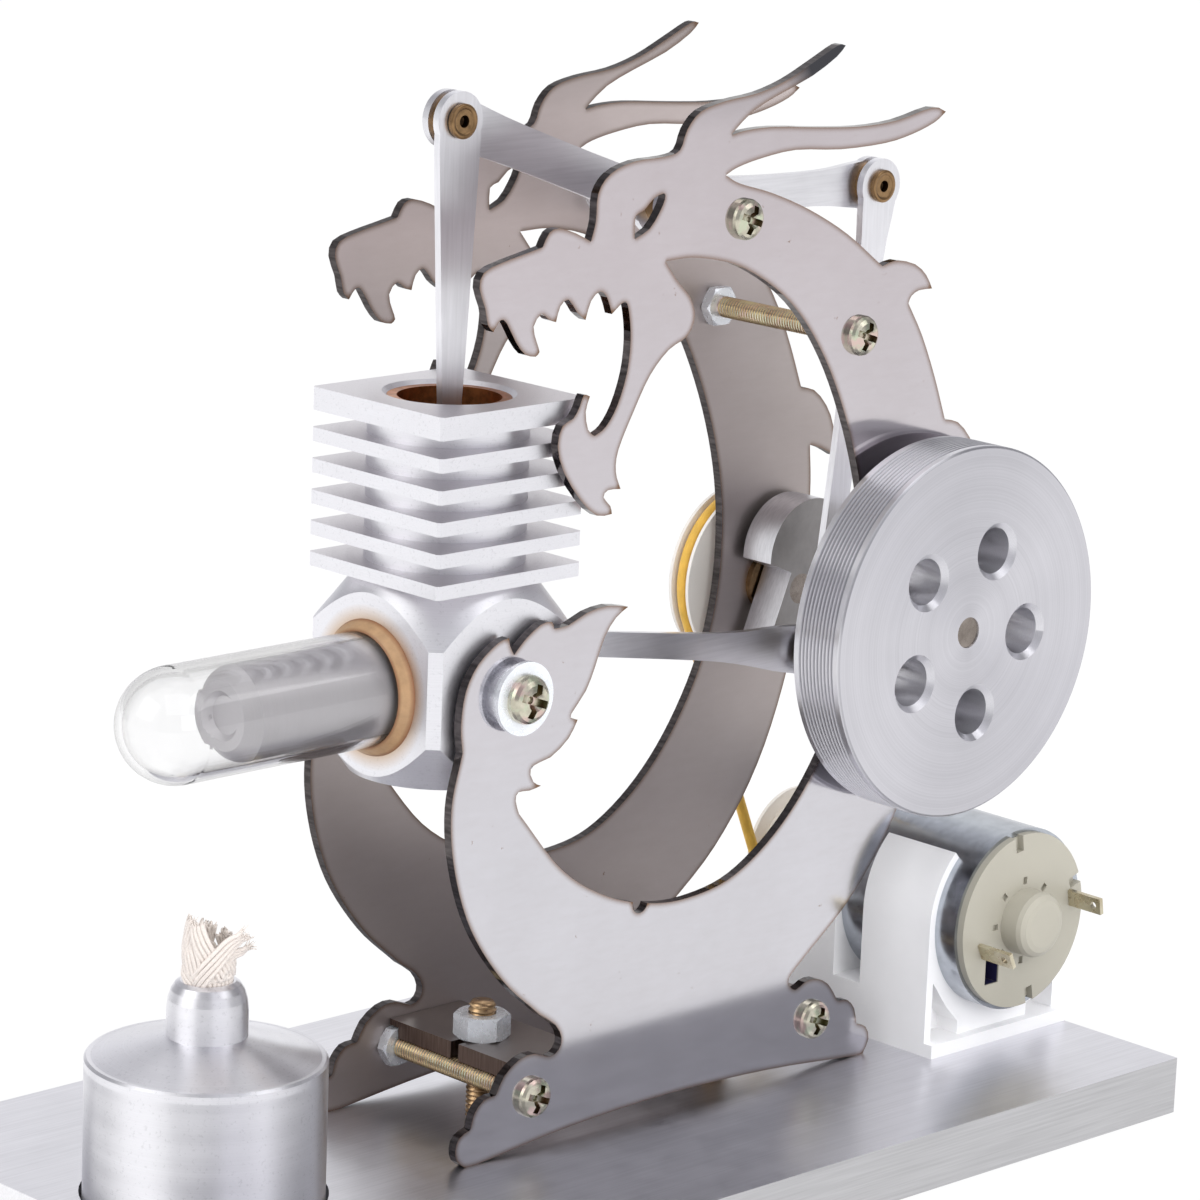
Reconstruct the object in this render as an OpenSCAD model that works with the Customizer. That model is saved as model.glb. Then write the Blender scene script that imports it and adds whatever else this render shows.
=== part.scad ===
// Hot-air engine with a dragon-shaped frame: a spirit burner heats a glass tube, a loose
// displacer and a power piston turn a crank, and a belt drives a small dynamo motor.
// Millimetres. Z is up, X runs from the burner to the motor, Y points away from the viewer.
// Heights are counted from the top of the base plate.

/* [Base] */
// Length of the base plate
base_l = 149; // [140:1:200]
// Width of the base plate
base_w = 80; // [60:1:120]
// Thickness of the base plate
base_t = 7.5; // [6:0.5:12]
// Depth of the round pocket that holds the burner
pocket_depth = 2.5; // [1:0.5:4]

/* [Frame plates] */
// Thickness of each dragon plate
plate_t = 1.2; // [0.8:0.1:2]
// Thickness of the washers between cylinder block and plates
spacer_t = 0.5; // [0.3:0.1:1]

/* [Cylinder block] */
// Side of the square block
block_side = 23.2; // [21:0.2:26]
// Distance from the hot tube's axis down to the block's underside
block_drop = 11.5; // [11:0.1:13]
// Height of the hot tube and of the crank
axis_h = 57.9; // [57:0.1:62]
// Thickness of one cooling fin
fin_t = 1.7; // [1:0.1:2]
// Spacing of the cooling fins
fin_pitch = 3.8; // [3.4:0.1:3.8]
// Diameter of the round core between the fins
barrel_d = 19.5; // [18:0.5:20.5]
// Bore of the power cylinder
bore_d = 12.6; // [11:0.2:13]

/* [Hot end] */
// Outside diameter of the glass tube
tube_d = 14; // [13:0.5:15]
// Wall of the glass tube
tube_wall = 0.9; // [0.8:0.1:1.2]
// Length of glass that stands out of the block
tube_out = 36.6; // [35:0.2:40]
// Diameter of the displacer
displacer_d = 11.6; // [9:0.2:11.8]
// Diameter of the displacer rod
drod_d = 2.6; // [2:0.2:2.6]

/* [Crank and flywheel] */
// Distance of the crank pin from the crank axis
crank_r = 7.5; // [6:0.5:7.5]
// Angle of the crank pin at rest, from straight down towards the tube
crank_rest = 22.3; // [10:0.1:35]
// Diameter of the crankshaft
shaft_d = 4; // [3:0.5:5]
// Diameter of the flywheel
wheel_d = 48; // [40:1:52]
// Width of the flywheel
wheel_w = 8; // [6:0.5:9]
// Diameter of the flywheel's holes
wheel_hole_d = 6; // [4:0.5:7]

/* [Rods] */
// Thickness of the flat rods
rod_t = 1; // [0.8:0.1:1.4]
// Radius of the wide rod ends
rod_r = 3.5; // [3.2:0.1:4]
// Radius of the narrow rod ends
rod_tip_r = 2.6; // [2.5:0.1:3]
// Half width of the rods' slender part
rod_waist = 1.6; // [1.3:0.1:2.2]
// Diameter of the brass eyelets
eyelet_d = 4.2; // [3.8:0.1:4.6]

/* [Belt drive] */
// Flange diameter of the big pulley
pulley_d = 24; // [20:0.5:26]
// Flange diameter of the small pulley
pinion_d = 17.4; // [12:0.2:18]
// Thickness of the round belt
belt_d = 1.5; // [1:0.1:1.8]

/* [Motor] */
// Diameter of the motor can
motor_d = 24.4; // [22:0.2:25]
// Length of can and end cap together
motor_l = 30.8; // [28:0.2:33]
// Height of the motor axis
motor_h = 17.2; // [16:0.1:19]

/* [Burner] */
// Diameter of the burner
burner_d = 28.8; // [24:0.2:30]
// Height of the burner's rim
burner_h = 16.9; // [14:0.1:18]
// Diameter of the burner's neck
neck_d = 9.7; // [8:0.1:11]

/* [Clearances] */
// Radial running clearance of shafts and pins
run = 0.05; // [0.02:0.01:0.1]
// Side gap between parts that move past each other
side_gap = 0.3; // [0.2:0.05:0.3]
// Gap between the burner and its pocket
pocket_gap = 0.4; // [0.3:0.1:1]
// Play of the power rod on the piston's pin
wrist_play = 0.7; // [0.6:0.05:0.8]

/* [Hidden] */
$fn = 64;
// Frame
half = block_side / 2 + spacer_t;
outer = half + plate_t;
// Positions along X and above the base
block_x = -21.75;
pivot_x = 13.55;
pivot_h = 112.2;
tie_x = 35.15;
tie_h = 95.8;
foot_x = [-16.85, 32.55];
foot_h = 6.8;
stud_x = [-13, 28.7];
crank_x = 47.2;
motor_x = base_l / 2 - 13.3;
// Screws
tie_d = 2.5;
tie_head_d = 5.1;
tie_nut_af = 4.8;
tie_nut_t = 1.5;
stud_d = 3.5;
bolt_head_d = 6;
stud_nut_af = 6.2;
stud_nut_t = 3.1;
washer_d = 9;
washer_t = 0.6;
lock_d = 7.6;
lock_t = 1.1;
strip_t = 2.2;
strip_w = 12;
// Block
fin_count = 5;
top_fin_t = 2.8;
block_low = axis_h - block_drop;
low_fin_top = axis_h + 14.5;
fins_low = low_fin_top - fin_t;
fins_top = low_fin_top + (fin_count - 1) * fin_pitch;
block_top = fins_top + fin_pitch - fin_t + top_fin_t;
corner_cut = 1.2;
fin_cut = 0.4;
bore_floor = axis_h + 8.5;
liner_wall = 1.2;
liner_drop = 0.5;
face_x = block_x + block_side / 2;
glass_x = block_x - block_side / 2;
tube_in = 7;
burner_x = glass_x - tube_out + 12.75;
seal_t = 0.8;
chamber_x = face_x - 3.2;
// Moving gear
layer_gap = 0.9;
layer = [rod_t / 2 + layer_gap, rod_t * 1.5 + layer_gap];
pin = [crank_x - crank_r * sin(crank_rest), axis_h - crank_r * cos(crank_rest)];
left_pin = [block_x, pivot_h + 12.7];
right_pin = [pivot_x + 38.2, pivot_h - 0.6];
wrist_h = block_top - 8;
piston_low = wrist_h - 4.5;
piston_top = wrist_h + 5;
lug_x = face_x + 12;
hub_d = 5;
hub_r = 4;
shoulder_d = 6;
rod_reach = 9;
rivet_d = 2.6;
rivet_head = 0.5;
rivet_gap = 0.12;
crank_pin_d = 3;
web_t = 5;
web_in = 6;
web_arm = 2.6;
web_cut = 1.5;
bearing_d = 6;
flange_t = 0.8;
wheel_front = -23.5;
// Belt line
pulley_y = outer + 1.5;
pulley_w = 3.6;
groove = 1.8;
belt_gap = 0.3;
belt_y = pulley_y + pulley_w / 2;
big_r = pulley_d / 2 - groove + belt_gap + belt_d / 2;
small_r = pinion_d / 2 - groove + belt_gap + belt_d / 2;
// Motor
motor_y = -23.5;
cap_t = 1;
boss_l = 3.8;
can_wall = 0.8;
mshaft_d = 2;
clip_front = -20.5;
arch_back = 1.4;
ledge_h = 1.8;
clip_l = [13.2, 8];
rear_clip = -2.5;
clip_wall = 1;
slab_h = motor_h - motor_d / 2 + 2;

// Points on a smooth curve through the given points, without its last point
function knot(p, i) = i < 0 ? 2 * p[0] - p[1]
    : i >= len(p) ? 2 * p[len(p) - 1] - p[len(p) - 2] : p[i];
function blend4(a, b, c, d, t) = 0.5 * (2 * b + (c - a) * t + (2 * a - 5 * b + 4 * c - d) * t * t
    + (3 * b - a - 3 * c + d) * t * t * t);
function smooth(p, n) = [for (i = [0:len(p) - 2]) for (k = [0:n - 1])
    blend4(knot(p, i - 1), knot(p, i), knot(p, i + 1), knot(p, i + 2), k / n)];

// Dragon outline, as distance along X and height above the base, in order round the plate
front_foot = concat(
    smooth([[-27.5, 0], [-28.8, 1], [-29.2, 2.5], [-28.6, 4], [-26.8, 4.7]], 2),
    smooth([[-26.8, 4.7], [-26.3, 6.5], [-24.8, 8], [-22.8, 8.2]], 2),
    smooth([[-22.8, 8.2], [-21.5, 10.4], [-19, 12], [-16.5, 12.2], [-14, 11.3], [-12.5, 11.9],
        [-12.1, 13.3], [-13.2, 15.2], [-16, 17.1]], 2));
tail_outside = concat(
    smooth([[-16, 17.1], [-22.3, 22.6], [-27.8, 30], [-30.8, 38], [-31.6, 45.5], [-30.1, 52.2]], 5),
    smooth([[-30.1, 52.2], [-30.5, 55.5], [-29.9, 59.6], [-28, 62.7], [-25, 64.8], [-23.2, 65.2]], 3),
    smooth([[-23.2, 65.2], [-23, 64.2], [-22.3, 63]], 2),
    smooth([[-22.3, 63], [-20.6, 64.6], [-18.1, 66.1], [-16.3, 66.2], [-15.9, 65.3]], 2),
    smooth([[-15.9, 65.3], [-13.5, 65.4], [-10.5, 66.5], [-7, 66.9], [-3.6, 66.3]], 2));
tail_inside = concat(
    smooth([[-3.6, 66.3], [-5.6, 65.2], [-7.4, 63], [-8.8, 59.6], [-10.2, 56.8], [-12.5, 54.3],
        [-12.3, 53.7], [-11.4, 53.4]], 2),
    smooth([[-11.4, 53.4], [-12.8, 51.3], [-15.7, 49.4], [-18.9, 48.7], [-18.4, 46.8],
        [-17.1, 46.1]], 2),
    smooth([[-17.1, 46.1], [-19, 45.8], [-20.8, 45.9], [-21.2, 44.9], [-20.6, 43.2]], 2));
window = smooth([[-20.6, 43.2], [-13, 34.8], [-5, 30], [3, 27.7], [10, 27.4], [17, 28.8], [24, 33],
    [30, 39.2], [35, 47.5], [37.6, 56], [38.3, 65], [37.2, 74.2], [34, 84], [29, 93.5], [22.5, 101],
    [14, 106.1], [6, 108.1], [0.3, 108.2]], 5);
throat = concat(
    smooth([[0.3, 108.2], [2.5, 105.6], [4.8, 103.4], [5.7, 101], [4.6, 98.7], [1.5, 97.3],
        [-1.5, 94.5], [-4, 90.4], [-6.3, 86], [-6.6, 83.3], [-5.7, 81.1]], 3),
    smooth([[-5.7, 81.1], [-7.8, 81.2], [-8.5, 80.4], [-7.3, 79.2], [-7, 78.2]], 2));
jaw = concat(
    smooth([[-7, 78.2], [-9.5, 78.3], [-12.3, 80.5], [-15.2, 84.2], [-16.4, 87.5], [-15.7, 89.9],
        [-14, 90.6], [-13, 92], [-12.4, 93.3], [-11.4, 93]], 2),
    smooth([[-11.4, 93], [-12, 91.2], [-11.5, 89], [-10.4, 88.1]], 2),
    smooth([[-10.4, 88.1], [-8.6, 89], [-6.8, 91.4], [-5.4, 95.2], [-5, 99], [-5.4, 102.3],
        [-6.2, 103.9], [-8.3, 102.6]], 3));
teeth = concat(
    smooth([[-8.3, 102.6], [-9.2, 104.7], [-10.4, 105.5], [-11.8, 104.5], [-12.6, 102.3]], 2),
    smooth([[-12.6, 102.3], [-14, 103.3], [-15.5, 105], [-16.8, 104.3], [-17.4, 102.5]], 2),
    smooth([[-17.4, 102.5], [-18.6, 102.9], [-19.8, 103.7], [-21, 102.3], [-20.4, 100.4],
        [-19.9, 99.2], [-20.5, 98.7]], 2),
    smooth([[-20.5, 98.7], [-22.2, 99.1], [-23.8, 100.8], [-25.3, 103.1], [-26.3, 103.6],
        [-27.4, 102.3]], 2));
head = concat(
    smooth([[-27.4, 102.3], [-28.3, 103.2], [-28.8, 105.2], [-29.8, 107.6], [-29.2, 109.4],
        [-26.5, 110.3], [-23, 111], [-20, 111.6]], 2),
    smooth([[-20, 111.6], [-19, 113.2], [-17.4, 113.6], [-14.7, 112.8], [-12.2, 111.6]], 2),
    smooth([[-12.2, 111.6], [-11.5, 114], [-11.3, 117.2], [-9.4, 119.4], [-5.5, 120.6],
        [-0.5, 120.8], [2, 121.4], [3.1, 123.8], [5.3, 125.8], [9.5, 126.8], [15, 127.4],
        [20, 128.7], [25, 130.8], [28.7, 132.4], [30, 132.3]], 3));
horns = concat(
    smooth([[30, 132.3], [28.5, 131], [24.3, 128.9], [18.7, 127], [14.3, 125.3], [11.3, 123.2],
        [10.7, 122.6]], 2),
    smooth([[10.7, 122.6], [13.3, 123], [18, 123.1], [26, 122.5], [33.4, 122.1], [40, 122.4],
        [46.5, 123.6], [49, 122.9]], 3),
    smooth([[49, 122.9], [47, 121.7], [43, 120.5], [38, 119.7], [30, 119.5], [22, 120],
        [16, 119.4], [12, 118.6], [10, 117.8]], 3));
back = concat(
    smooth([[10, 117.8], [12.5, 116.6], [18.2, 115], [25, 112.4], [32, 108.8], [38.7, 104.2]], 4),
    smooth([[38.7, 104.2], [41.3, 104.7], [44.8, 103.9], [47, 102.3], [48.2, 100.5]], 2),
    smooth([[48.2, 100.5], [45.8, 100.5], [44.4, 99.9], [43.9, 99]], 2),
    smooth([[43.9, 99], [46.8, 94.6], [49.6, 89], [52, 83.2]], 3),
    smooth([[52, 83.2], [54.5, 82.6], [57, 80.3], [58.6, 77.2], [58.9, 73.3]], 2),
    smooth([[58.9, 73.3], [56.6, 74.5], [54.2, 75.3]], 2),
    smooth([[54.2, 75.3], [54.7, 69], [54.4, 58], [52, 45.5], [47, 32.8], [39.5, 22.6],
        [29.5, 14.5]], 5));
rear_foot = concat(
    smooth([[29.5, 14.5], [28, 13.2], [28.1, 12.1], [29.3, 11.3], [31, 12], [33, 12.1],
        [35.4, 10.9], [37.4, 8.2]], 2),
    smooth([[37.4, 8.2], [39.2, 8], [40.6, 6.6], [41.2, 4.4]], 2),
    smooth([[41.2, 4.4], [43, 3.6], [43.7, 1.8], [42.7, 0]], 2),
    [[42.7, 0]],
    smooth([[41, 0], [25, 1.5], [7.5, 2.1], [-10, 1.5], [-25.5, 0]], 4),
    [[-25.5, 0]]);
dragon = concat(front_foot, tail_outside, tail_inside, window, throat, jaw, teeth, head, horns,
    back, rear_foot);
eye = smooth([[-5, 111.3], [-5, 114], [-3.6, 114.6], [-2.1, 115.9], [-0.4, 116.4], [-0.2, 115.7],
    [-1, 114.2], [-2.6, 112.3], [-5, 111.3]], 2);

// Helpers
module up() {
    translate([0, 0, base_t]) children();
}
module xz(y0, y1) {
    translate([0, y1, 0]) rotate([90, 0, 0]) linear_extrude(y1 - y0) children();
}
module along_y(x, h, y0, y1, d) {
    translate([x, y1, h]) rotate([90, 0, 0]) cylinder(d = d, h = y1 - y0);
}
module along_x(h, x0, x1, d) {
    translate([x0, 0, h]) rotate([0, 90, 0]) cylinder(d = d, h = x1 - x0);
}
module hexagon(af) {
    circle(d = af / cos(30), $fn = 6);
}
// Lever between two round eyes, its flanks a smooth curve through distances and half widths
module lever(a, b, r0, r1, flank, y0, y1) {
    t = atan2(b[1] - a[1], b[0] - a[0]);
    edge = concat(smooth(flank, 3), [flank[len(flank) - 1]]);
    union() {
        along_y(a[0], a[1], y0, y1, 2 * r0);
        along_y(b[0], b[1], y0, y1, 2 * r1);
        xz(y0, y1) translate(a) rotate(t) polygon(concat(edge,
            [for (i = [len(edge) - 1:-1:0]) [edge[i][0], -edge[i][1]]]));
    }
}
// Pan-head screw along +Z, its head below the plane z = 0
module pan_screw(d, head_d, length) {
    head_h = head_d * 0.33;
    difference() {
        union() {
            cylinder(d = d, h = length);
            rotate_extrude() polygon([[0, 0], [head_d / 2, 0], [head_d / 2, -head_h * 0.3],
                [head_d * 0.475, -head_h * 0.5], [head_d * 0.42, -head_h * 0.7], [head_d * 0.33, -head_h * 0.87],
                [head_d * 0.21, -head_h * 0.97], [head_d * 0.12, -head_h], [0, -head_h]]);
        }
        for (a = [20, 110]) rotate(a) translate([-head_d * 0.35, -head_d * 0.08, -head_h - 1])
            cube([head_d * 0.7, head_d * 0.16, 1 + head_h * 0.6]);
        translate([0, 0, -head_h - 0.01]) cylinder(d1 = head_d * 0.42, d2 = head_d * 0.1, h = head_h * 0.75);
    }
}
module screw_y(x, h, y, d, head_d, length) {
    translate([x, y, h]) rotate([-90, 0, 0]) pan_screw(d, head_d, length);
}
// Hexagon nut along +Z with its corners turned off at both ends
module nut(d, af, t) {
    r = af / 2 / cos(30) + 0.1;
    c = (r - af / 2) * 0.6;
    difference() {
        intersection() {
            linear_extrude(t) hexagon(af);
            rotate_extrude() polygon([[0, 0], [af / 2, 0], [r, c], [r, t - c], [af / 2, t], [0, t]]);
        }
        translate([0, 0, -1]) cylinder(d = d, h = t + 2);
    }
}
module nut_y(x, h, y, d, af, t) {
    translate([x, y + t, h]) rotate([90, 0, 0]) nut(d, af, t);
}
// Brass rivet from its front head back to y1
module rivet(x, h, y0, y1) {
    difference() {
        union() {
            along_y(x, h, y0 - rivet_head, y0, eyelet_d);
            along_y(x, h, y0 - 0.01, y1, rivet_d);
        }
        along_y(x, h, y0 - rivet_head - 1, y0 + 0.6, 1.5);
    }
}
module ring_y(x, h, y0, y1, d_out, d_in) {
    difference() {
        along_y(x, h, y0, y1, d_out);
        along_y(x, h, y0 - 1, y1 + 1, d_in);
    }
}

// Base
module base_plate() {
    color("silver") difference() {
        translate([-base_l / 2, -base_w / 2, 0]) cube([base_l, base_w, base_t]);
        translate([burner_x, 0, base_t - pocket_depth])
            cylinder(d = burner_d + 2 * pocket_gap, h = pocket_depth + 1);
        for (x = stud_x) translate([x, 0, 1.5]) cylinder(d = stud_d, h = base_t);
        for (y = bracket_screw_y) translate([motor_x, y, -1]) {
            cylinder(d = tie_d, h = base_t + 2);
            translate([0, 0, 1]) cylinder(d1 = 2 * tie_d, d2 = tie_d, h = tie_d / 2);
            cylinder(d = 2 * tie_d, h = 1.001);
        }
    }
}
bracket_screw_y = [-16, 0.5];

// Frame plates
module plate_shape() {
    difference() {
        polygon(dragon);
        polygon(eye);
        translate([0.5, 28.2]) circle(1.3);
        translate([pivot_x, pivot_h]) circle(d = tie_d);
        translate([tie_x, tie_h]) circle(d = tie_d);
        for (x = foot_x) translate([x, foot_h]) circle(d = tie_d);
        translate([block_x, axis_h]) circle(d = stud_d);
        translate([crank_x, axis_h]) circle(d = bearing_d);
    }
}
module front_plate() {
    color("gainsboro") up() xz(-outer, -half) plate_shape();
}
module rear_plate() {
    color("darkgray") up() xz(half, outer) plate_shape();
}

// Cylinder block
module square_bar(c) {
    s = block_side / 2;
    translate([block_x, 0]) polygon([[-s + c, -s], [s - c, -s], [s, -s + c], [s, s - c], [s - c, s],
        [-s + c, s], [-s, s - c], [-s, -s + c]]);
}
module cylinder_block() {
    color("lightgray") up() difference() {
        union() {
            intersection() {
                translate([0, 0, block_low]) linear_extrude(fins_low - block_low) square_bar(corner_cut);
                translate([block_x, 0, 0]) rotate_extrude() polygon([[0, block_low],
                    [block_side * 0.478, block_low], [block_side * 0.67, axis_h - 5.4],
                    [block_side * 0.67, axis_h + 6.4], [block_side * 0.457, fins_low], [0, fins_low]]);
            }
            translate([block_x, 0, fins_low - 0.01])
                cylinder(d = barrel_d, h = block_top - fins_low - 1);
            for (i = [0:fin_count - 1]) translate([0, 0, fins_low + i * fin_pitch])
                linear_extrude(fin_t) square_bar(fin_cut);
            translate([0, 0, block_top - top_fin_t]) linear_extrude(top_fin_t) square_bar(fin_cut);
        }
        translate([block_x, 0, bore_floor]) cylinder(d = bore_d + 2 * liner_wall, h = 60);
        translate([block_x, 0, block_top - 0.6])
            cylinder(d1 = bore_d + 2 * liner_wall, d2 = bore_d + 2 * liner_wall + 1.4, h = 0.7);
        translate([block_x, 0, axis_h]) cylinder(d = 3, h = bore_floor - axis_h + 1);
        along_x(axis_h, glass_x + 1, chamber_x, tube_d - 2 * tube_wall);
        along_x(axis_h, glass_x - 1, glass_x + tube_in, tube_d + 2 * seal_t);
        along_x(axis_h, chamber_x - 1, face_x + 1, drod_d + 2.4);
        for (s = [-1, 1]) translate([block_x, s * (half - 2.7), axis_h]) rotate([90, 0, 0])
            cylinder(d = stud_d, h = 5.4, center = true);
    }
}
module cylinder_liner() {
    color("peru") up() translate([block_x, 0, bore_floor]) difference() {
        cylinder(d = bore_d + 2 * liner_wall, h = block_top - bore_floor - liner_drop);
        translate([0, 0, -1]) cylinder(d = bore_d, h = 60);
    }
}
module glass_tube() {
    dome = glass_x - tube_out + tube_d / 2;
    color("lightcyan") up() difference() {
        union() {
            along_x(axis_h, dome, glass_x + tube_in, tube_d);
            translate([dome, 0, axis_h]) sphere(d = tube_d);
        }
        along_x(axis_h, dome, glass_x + tube_in + 1, tube_d - 2 * tube_wall);
        translate([dome, 0, axis_h]) sphere(d = tube_d - 2 * tube_wall);
    }
}
module tube_seal() {
    r = tube_d / 2;
    color("goldenrod") up() translate([glass_x, 0, axis_h]) rotate([0, 90, 0]) rotate_extrude()
        polygon([[r, -1.5], [r + 0.4, -1.2], [r + 1, -0.5], [r + 1.3, 0], [r + seal_t, 0],
            [r + seal_t, tube_in], [r, tube_in]]);
}
module guide_bush() {
    color("gold") up() difference() {
        union() {
            along_x(axis_h, chamber_x, face_x, drod_d + 2.4);
            along_x(axis_h, face_x, face_x + 1.4, drod_d + 4.4);
        }
        along_x(axis_h, chamber_x - 1, face_x + 3, drod_d + 2 * run);
    }
}

// Fasteners
module block_screws() {
    color("khaki") up() for (a = [0, 180]) translate([block_x, 0, axis_h]) rotate(a)
        screw_y(0, 0, -outer - lock_t - washer_t, stud_d, bolt_head_d, lock_t + washer_t + plate_t + 4.4);
}
module block_washers() {
    color("silver") up() translate([block_x, 0, axis_h]) for (a = [0, 180]) rotate(a)
        ring_y(0, 0, -outer - lock_t - washer_t, -outer - lock_t, washer_d, stud_d);
}
module lock_washers() {
    color("gray") up() translate([block_x, 0, axis_h]) for (a = [0, 180]) rotate(a) difference() {
        ring_y(0, 0, -outer - lock_t, -outer, lock_d, stud_d);
        rotate([0, 35, 0]) translate([0, -outer - lock_t - 1, -0.3]) cube([lock_d, lock_t + 2, 0.6]);
    }
}
module spacer_washers() {
    color("silver") up() for (y = [-half, half - spacer_t])
        ring_y(block_x, axis_h, y, y + spacer_t, washer_d, stud_d);
}
screw_l = 2 * outer + tie_nut_t + 0.8;
module pivot_screw() {
    color("khaki") up() screw_y(pivot_x, pivot_h, -outer, tie_d, tie_head_d, screw_l);
}
bush_y = [layer[0] - 1.6, layer[1] + 1.6];
module pivot_spacers() {
    color("silver") up() {
        ring_y(pivot_x, pivot_h, -half, bush_y[0] - side_gap, 6, tie_d);
        ring_y(pivot_x, pivot_h, bush_y[1] + side_gap, half - tie_nut_t, 6, tie_d);
    }
}
module tie_screws() {
    color("khaki") up() {
        screw_y(tie_x, tie_h, -outer, tie_d, tie_head_d, screw_l);
        for (x = foot_x) screw_y(x, foot_h, -outer, tie_d, tie_head_d, screw_l);
    }
}
module frame_nuts() {
    color("lightsteelblue") up() for (p = [[pivot_x, pivot_h], [tie_x, tie_h], [foot_x[0], foot_h],
            [foot_x[1], foot_h]]) {
        nut_y(p[0], p[1], half - tie_nut_t, tie_d, tie_nut_af, tie_nut_t);
        nut_y(p[0], p[1], outer, tie_d, tie_nut_af, tie_nut_t);
    }
}
strip_h = foot_h + tie_d / 2;
module strip(x, out) {
    difference() {
        translate([x + out * 4.5 - (out > 0 ? strip_w : 0), -half + 0.1, strip_h])
            cube([strip_w, 2 * half - 0.2, strip_t]);
        translate([x, 0, strip_h - 1]) cylinder(d = stud_d + 0.2, h = strip_t + 2);
        translate([x + (out > 0 ? 0 : -9), -0.7, strip_h - 1]) cube([9, 1.4, strip_t + 2]);
        for (y = [-half, half - tie_nut_t - 0.2]) translate([foot_x[out > 0 ? 1 : 0] - 3.5, y, strip_h - 1])
            cube([7, tie_nut_t + 0.2, y > 0 ? 2.4 : 0.1]);
    }
}
module clamp_strips() {
    color("rosybrown") up() {
        strip(stud_x[0], -1);
        strip(stud_x[1], 1);
    }
}
module hold_down_studs() {
    color("khaki") for (x = stud_x) translate([x, 0, 1.5])
        cylinder(d = stud_d, h = base_t - 1.5 + strip_h + strip_t + stud_nut_t + 1.5);
}
module hold_down_nuts() {
    color("lightsteelblue") up() for (x = stud_x) translate([x, 0, strip_h + strip_t])
        rotate(18) nut(stud_d, stud_nut_af, stud_nut_t);
}
module bearing(s) {
    mirror([0, s > 0 ? 0 : 1, 0]) difference() {
        union() {
            along_y(crank_x, axis_h, half - flange_t, half, 8);
            along_y(crank_x, axis_h, half, outer + 0.5, bearing_d);
        }
        along_y(crank_x, axis_h, half - 3, outer + 3, shaft_d + 2 * run);
    }
}
module front_bearing() {
    color("gold") up() bearing(-1);
}
module rear_bearing() {
    color("gold") up() bearing(1);
}

// Crank
module flywheel() {
    y1 = wheel_front + wheel_w;
    color("whitesmoke") up() translate([crank_x, 0, axis_h]) difference() {
        union() {
            translate([0, wheel_front, 0]) rotate([-90, 0, 0]) rotate_extrude()
                polygon(concat([[0, 0], [wheel_d / 2 - 0.25, 0], [wheel_d / 2, 0.25]],
                [for (i = [0:9]) for (k = [0:3]) [wheel_d / 2 - (k == 1 || k == 2 ? 0.25 : 0),
                    1 + 0.6 * i + 0.15 * k]],
                [[wheel_d / 2, wheel_w - 0.4], [wheel_d / 2 - 0.4, wheel_w], [0, wheel_w]]));
            along_y(0, 0, y1 - 0.01, y1 + 1.2, 9);
        }
        along_y(0, 0, wheel_front - 1, y1 + 2, shaft_d);
        for (i = [0:4]) rotate([0, -64.7 - 72 * i, 0]) translate([11, 0, 0]) {
            along_y(0, 0, wheel_front - 1, y1 + 2, wheel_hole_d);
            translate([0, wheel_front - 0.01, 0]) rotate([-90, 0, 0])
                cylinder(d1 = wheel_hole_d + 1.5, d2 = wheel_hole_d, h = 0.75);
        }
    }
}
module front_shaft() {
    color("tan") up() along_y(crank_x, axis_h, wheel_front + 0.2, -web_in, shaft_d);
}
module rear_shaft() {
    color("tan") up() along_y(crank_x, axis_h, web_in, pulley_y + pulley_w + 0.4, shaft_d);
}
module web_shape() {
    w = (pin - [crank_x, axis_h]) / crank_r;
    a = atan2(w[1], w[0]);
    difference() {
        translate([crank_x, axis_h]) rotate(a) {
            translate([-web_cut - 1, -web_arm]) square([crank_r + web_cut + 1, 2 * web_arm]);
            translate([crank_r, 0]) circle(web_arm);
            intersection() {
                translate([-4.6, 0]) circle(7.6);
                translate([-20 - web_cut, -20]) square([20, 40]);
            }
        }
        translate([crank_x, axis_h]) circle(d = shaft_d);
        translate(pin) circle(d = crank_pin_d);
    }
}
module front_web() {
    color("lightgray") up() xz(-web_in - web_t, -web_in) web_shape();
}
module rear_web() {
    color("lightgray") up() xz(web_in, web_in + web_t) web_shape();
}
module crank_pin() {
    color("tan") up() along_y(pin[0], pin[1], -web_in - web_t, web_in + web_t, crank_pin_d);
}
module pulley_profile(d, bore) {
    r = d / 2;
    polygon([[bore / 2, 0], [r, 0], [r, 0.5], [r - groove, 0.75], [r - groove, pulley_w - 0.75],
        [r, pulley_w - 0.5], [r, pulley_w], [bore / 2, pulley_w]]);
}
module drive_pulley() {
    color("white") up() difference() {
        translate([crank_x, pulley_y, axis_h]) rotate([-90, 0, 0]) rotate_extrude()
            pulley_profile(pulley_d, shaft_d);
        for (a = [0:120:240]) translate([crank_x, 0, axis_h]) rotate([0, a, 0])
            along_y(6, 0, pulley_y - 1, pulley_y + pulley_w + 1, 4.5);
    }
}

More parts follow.
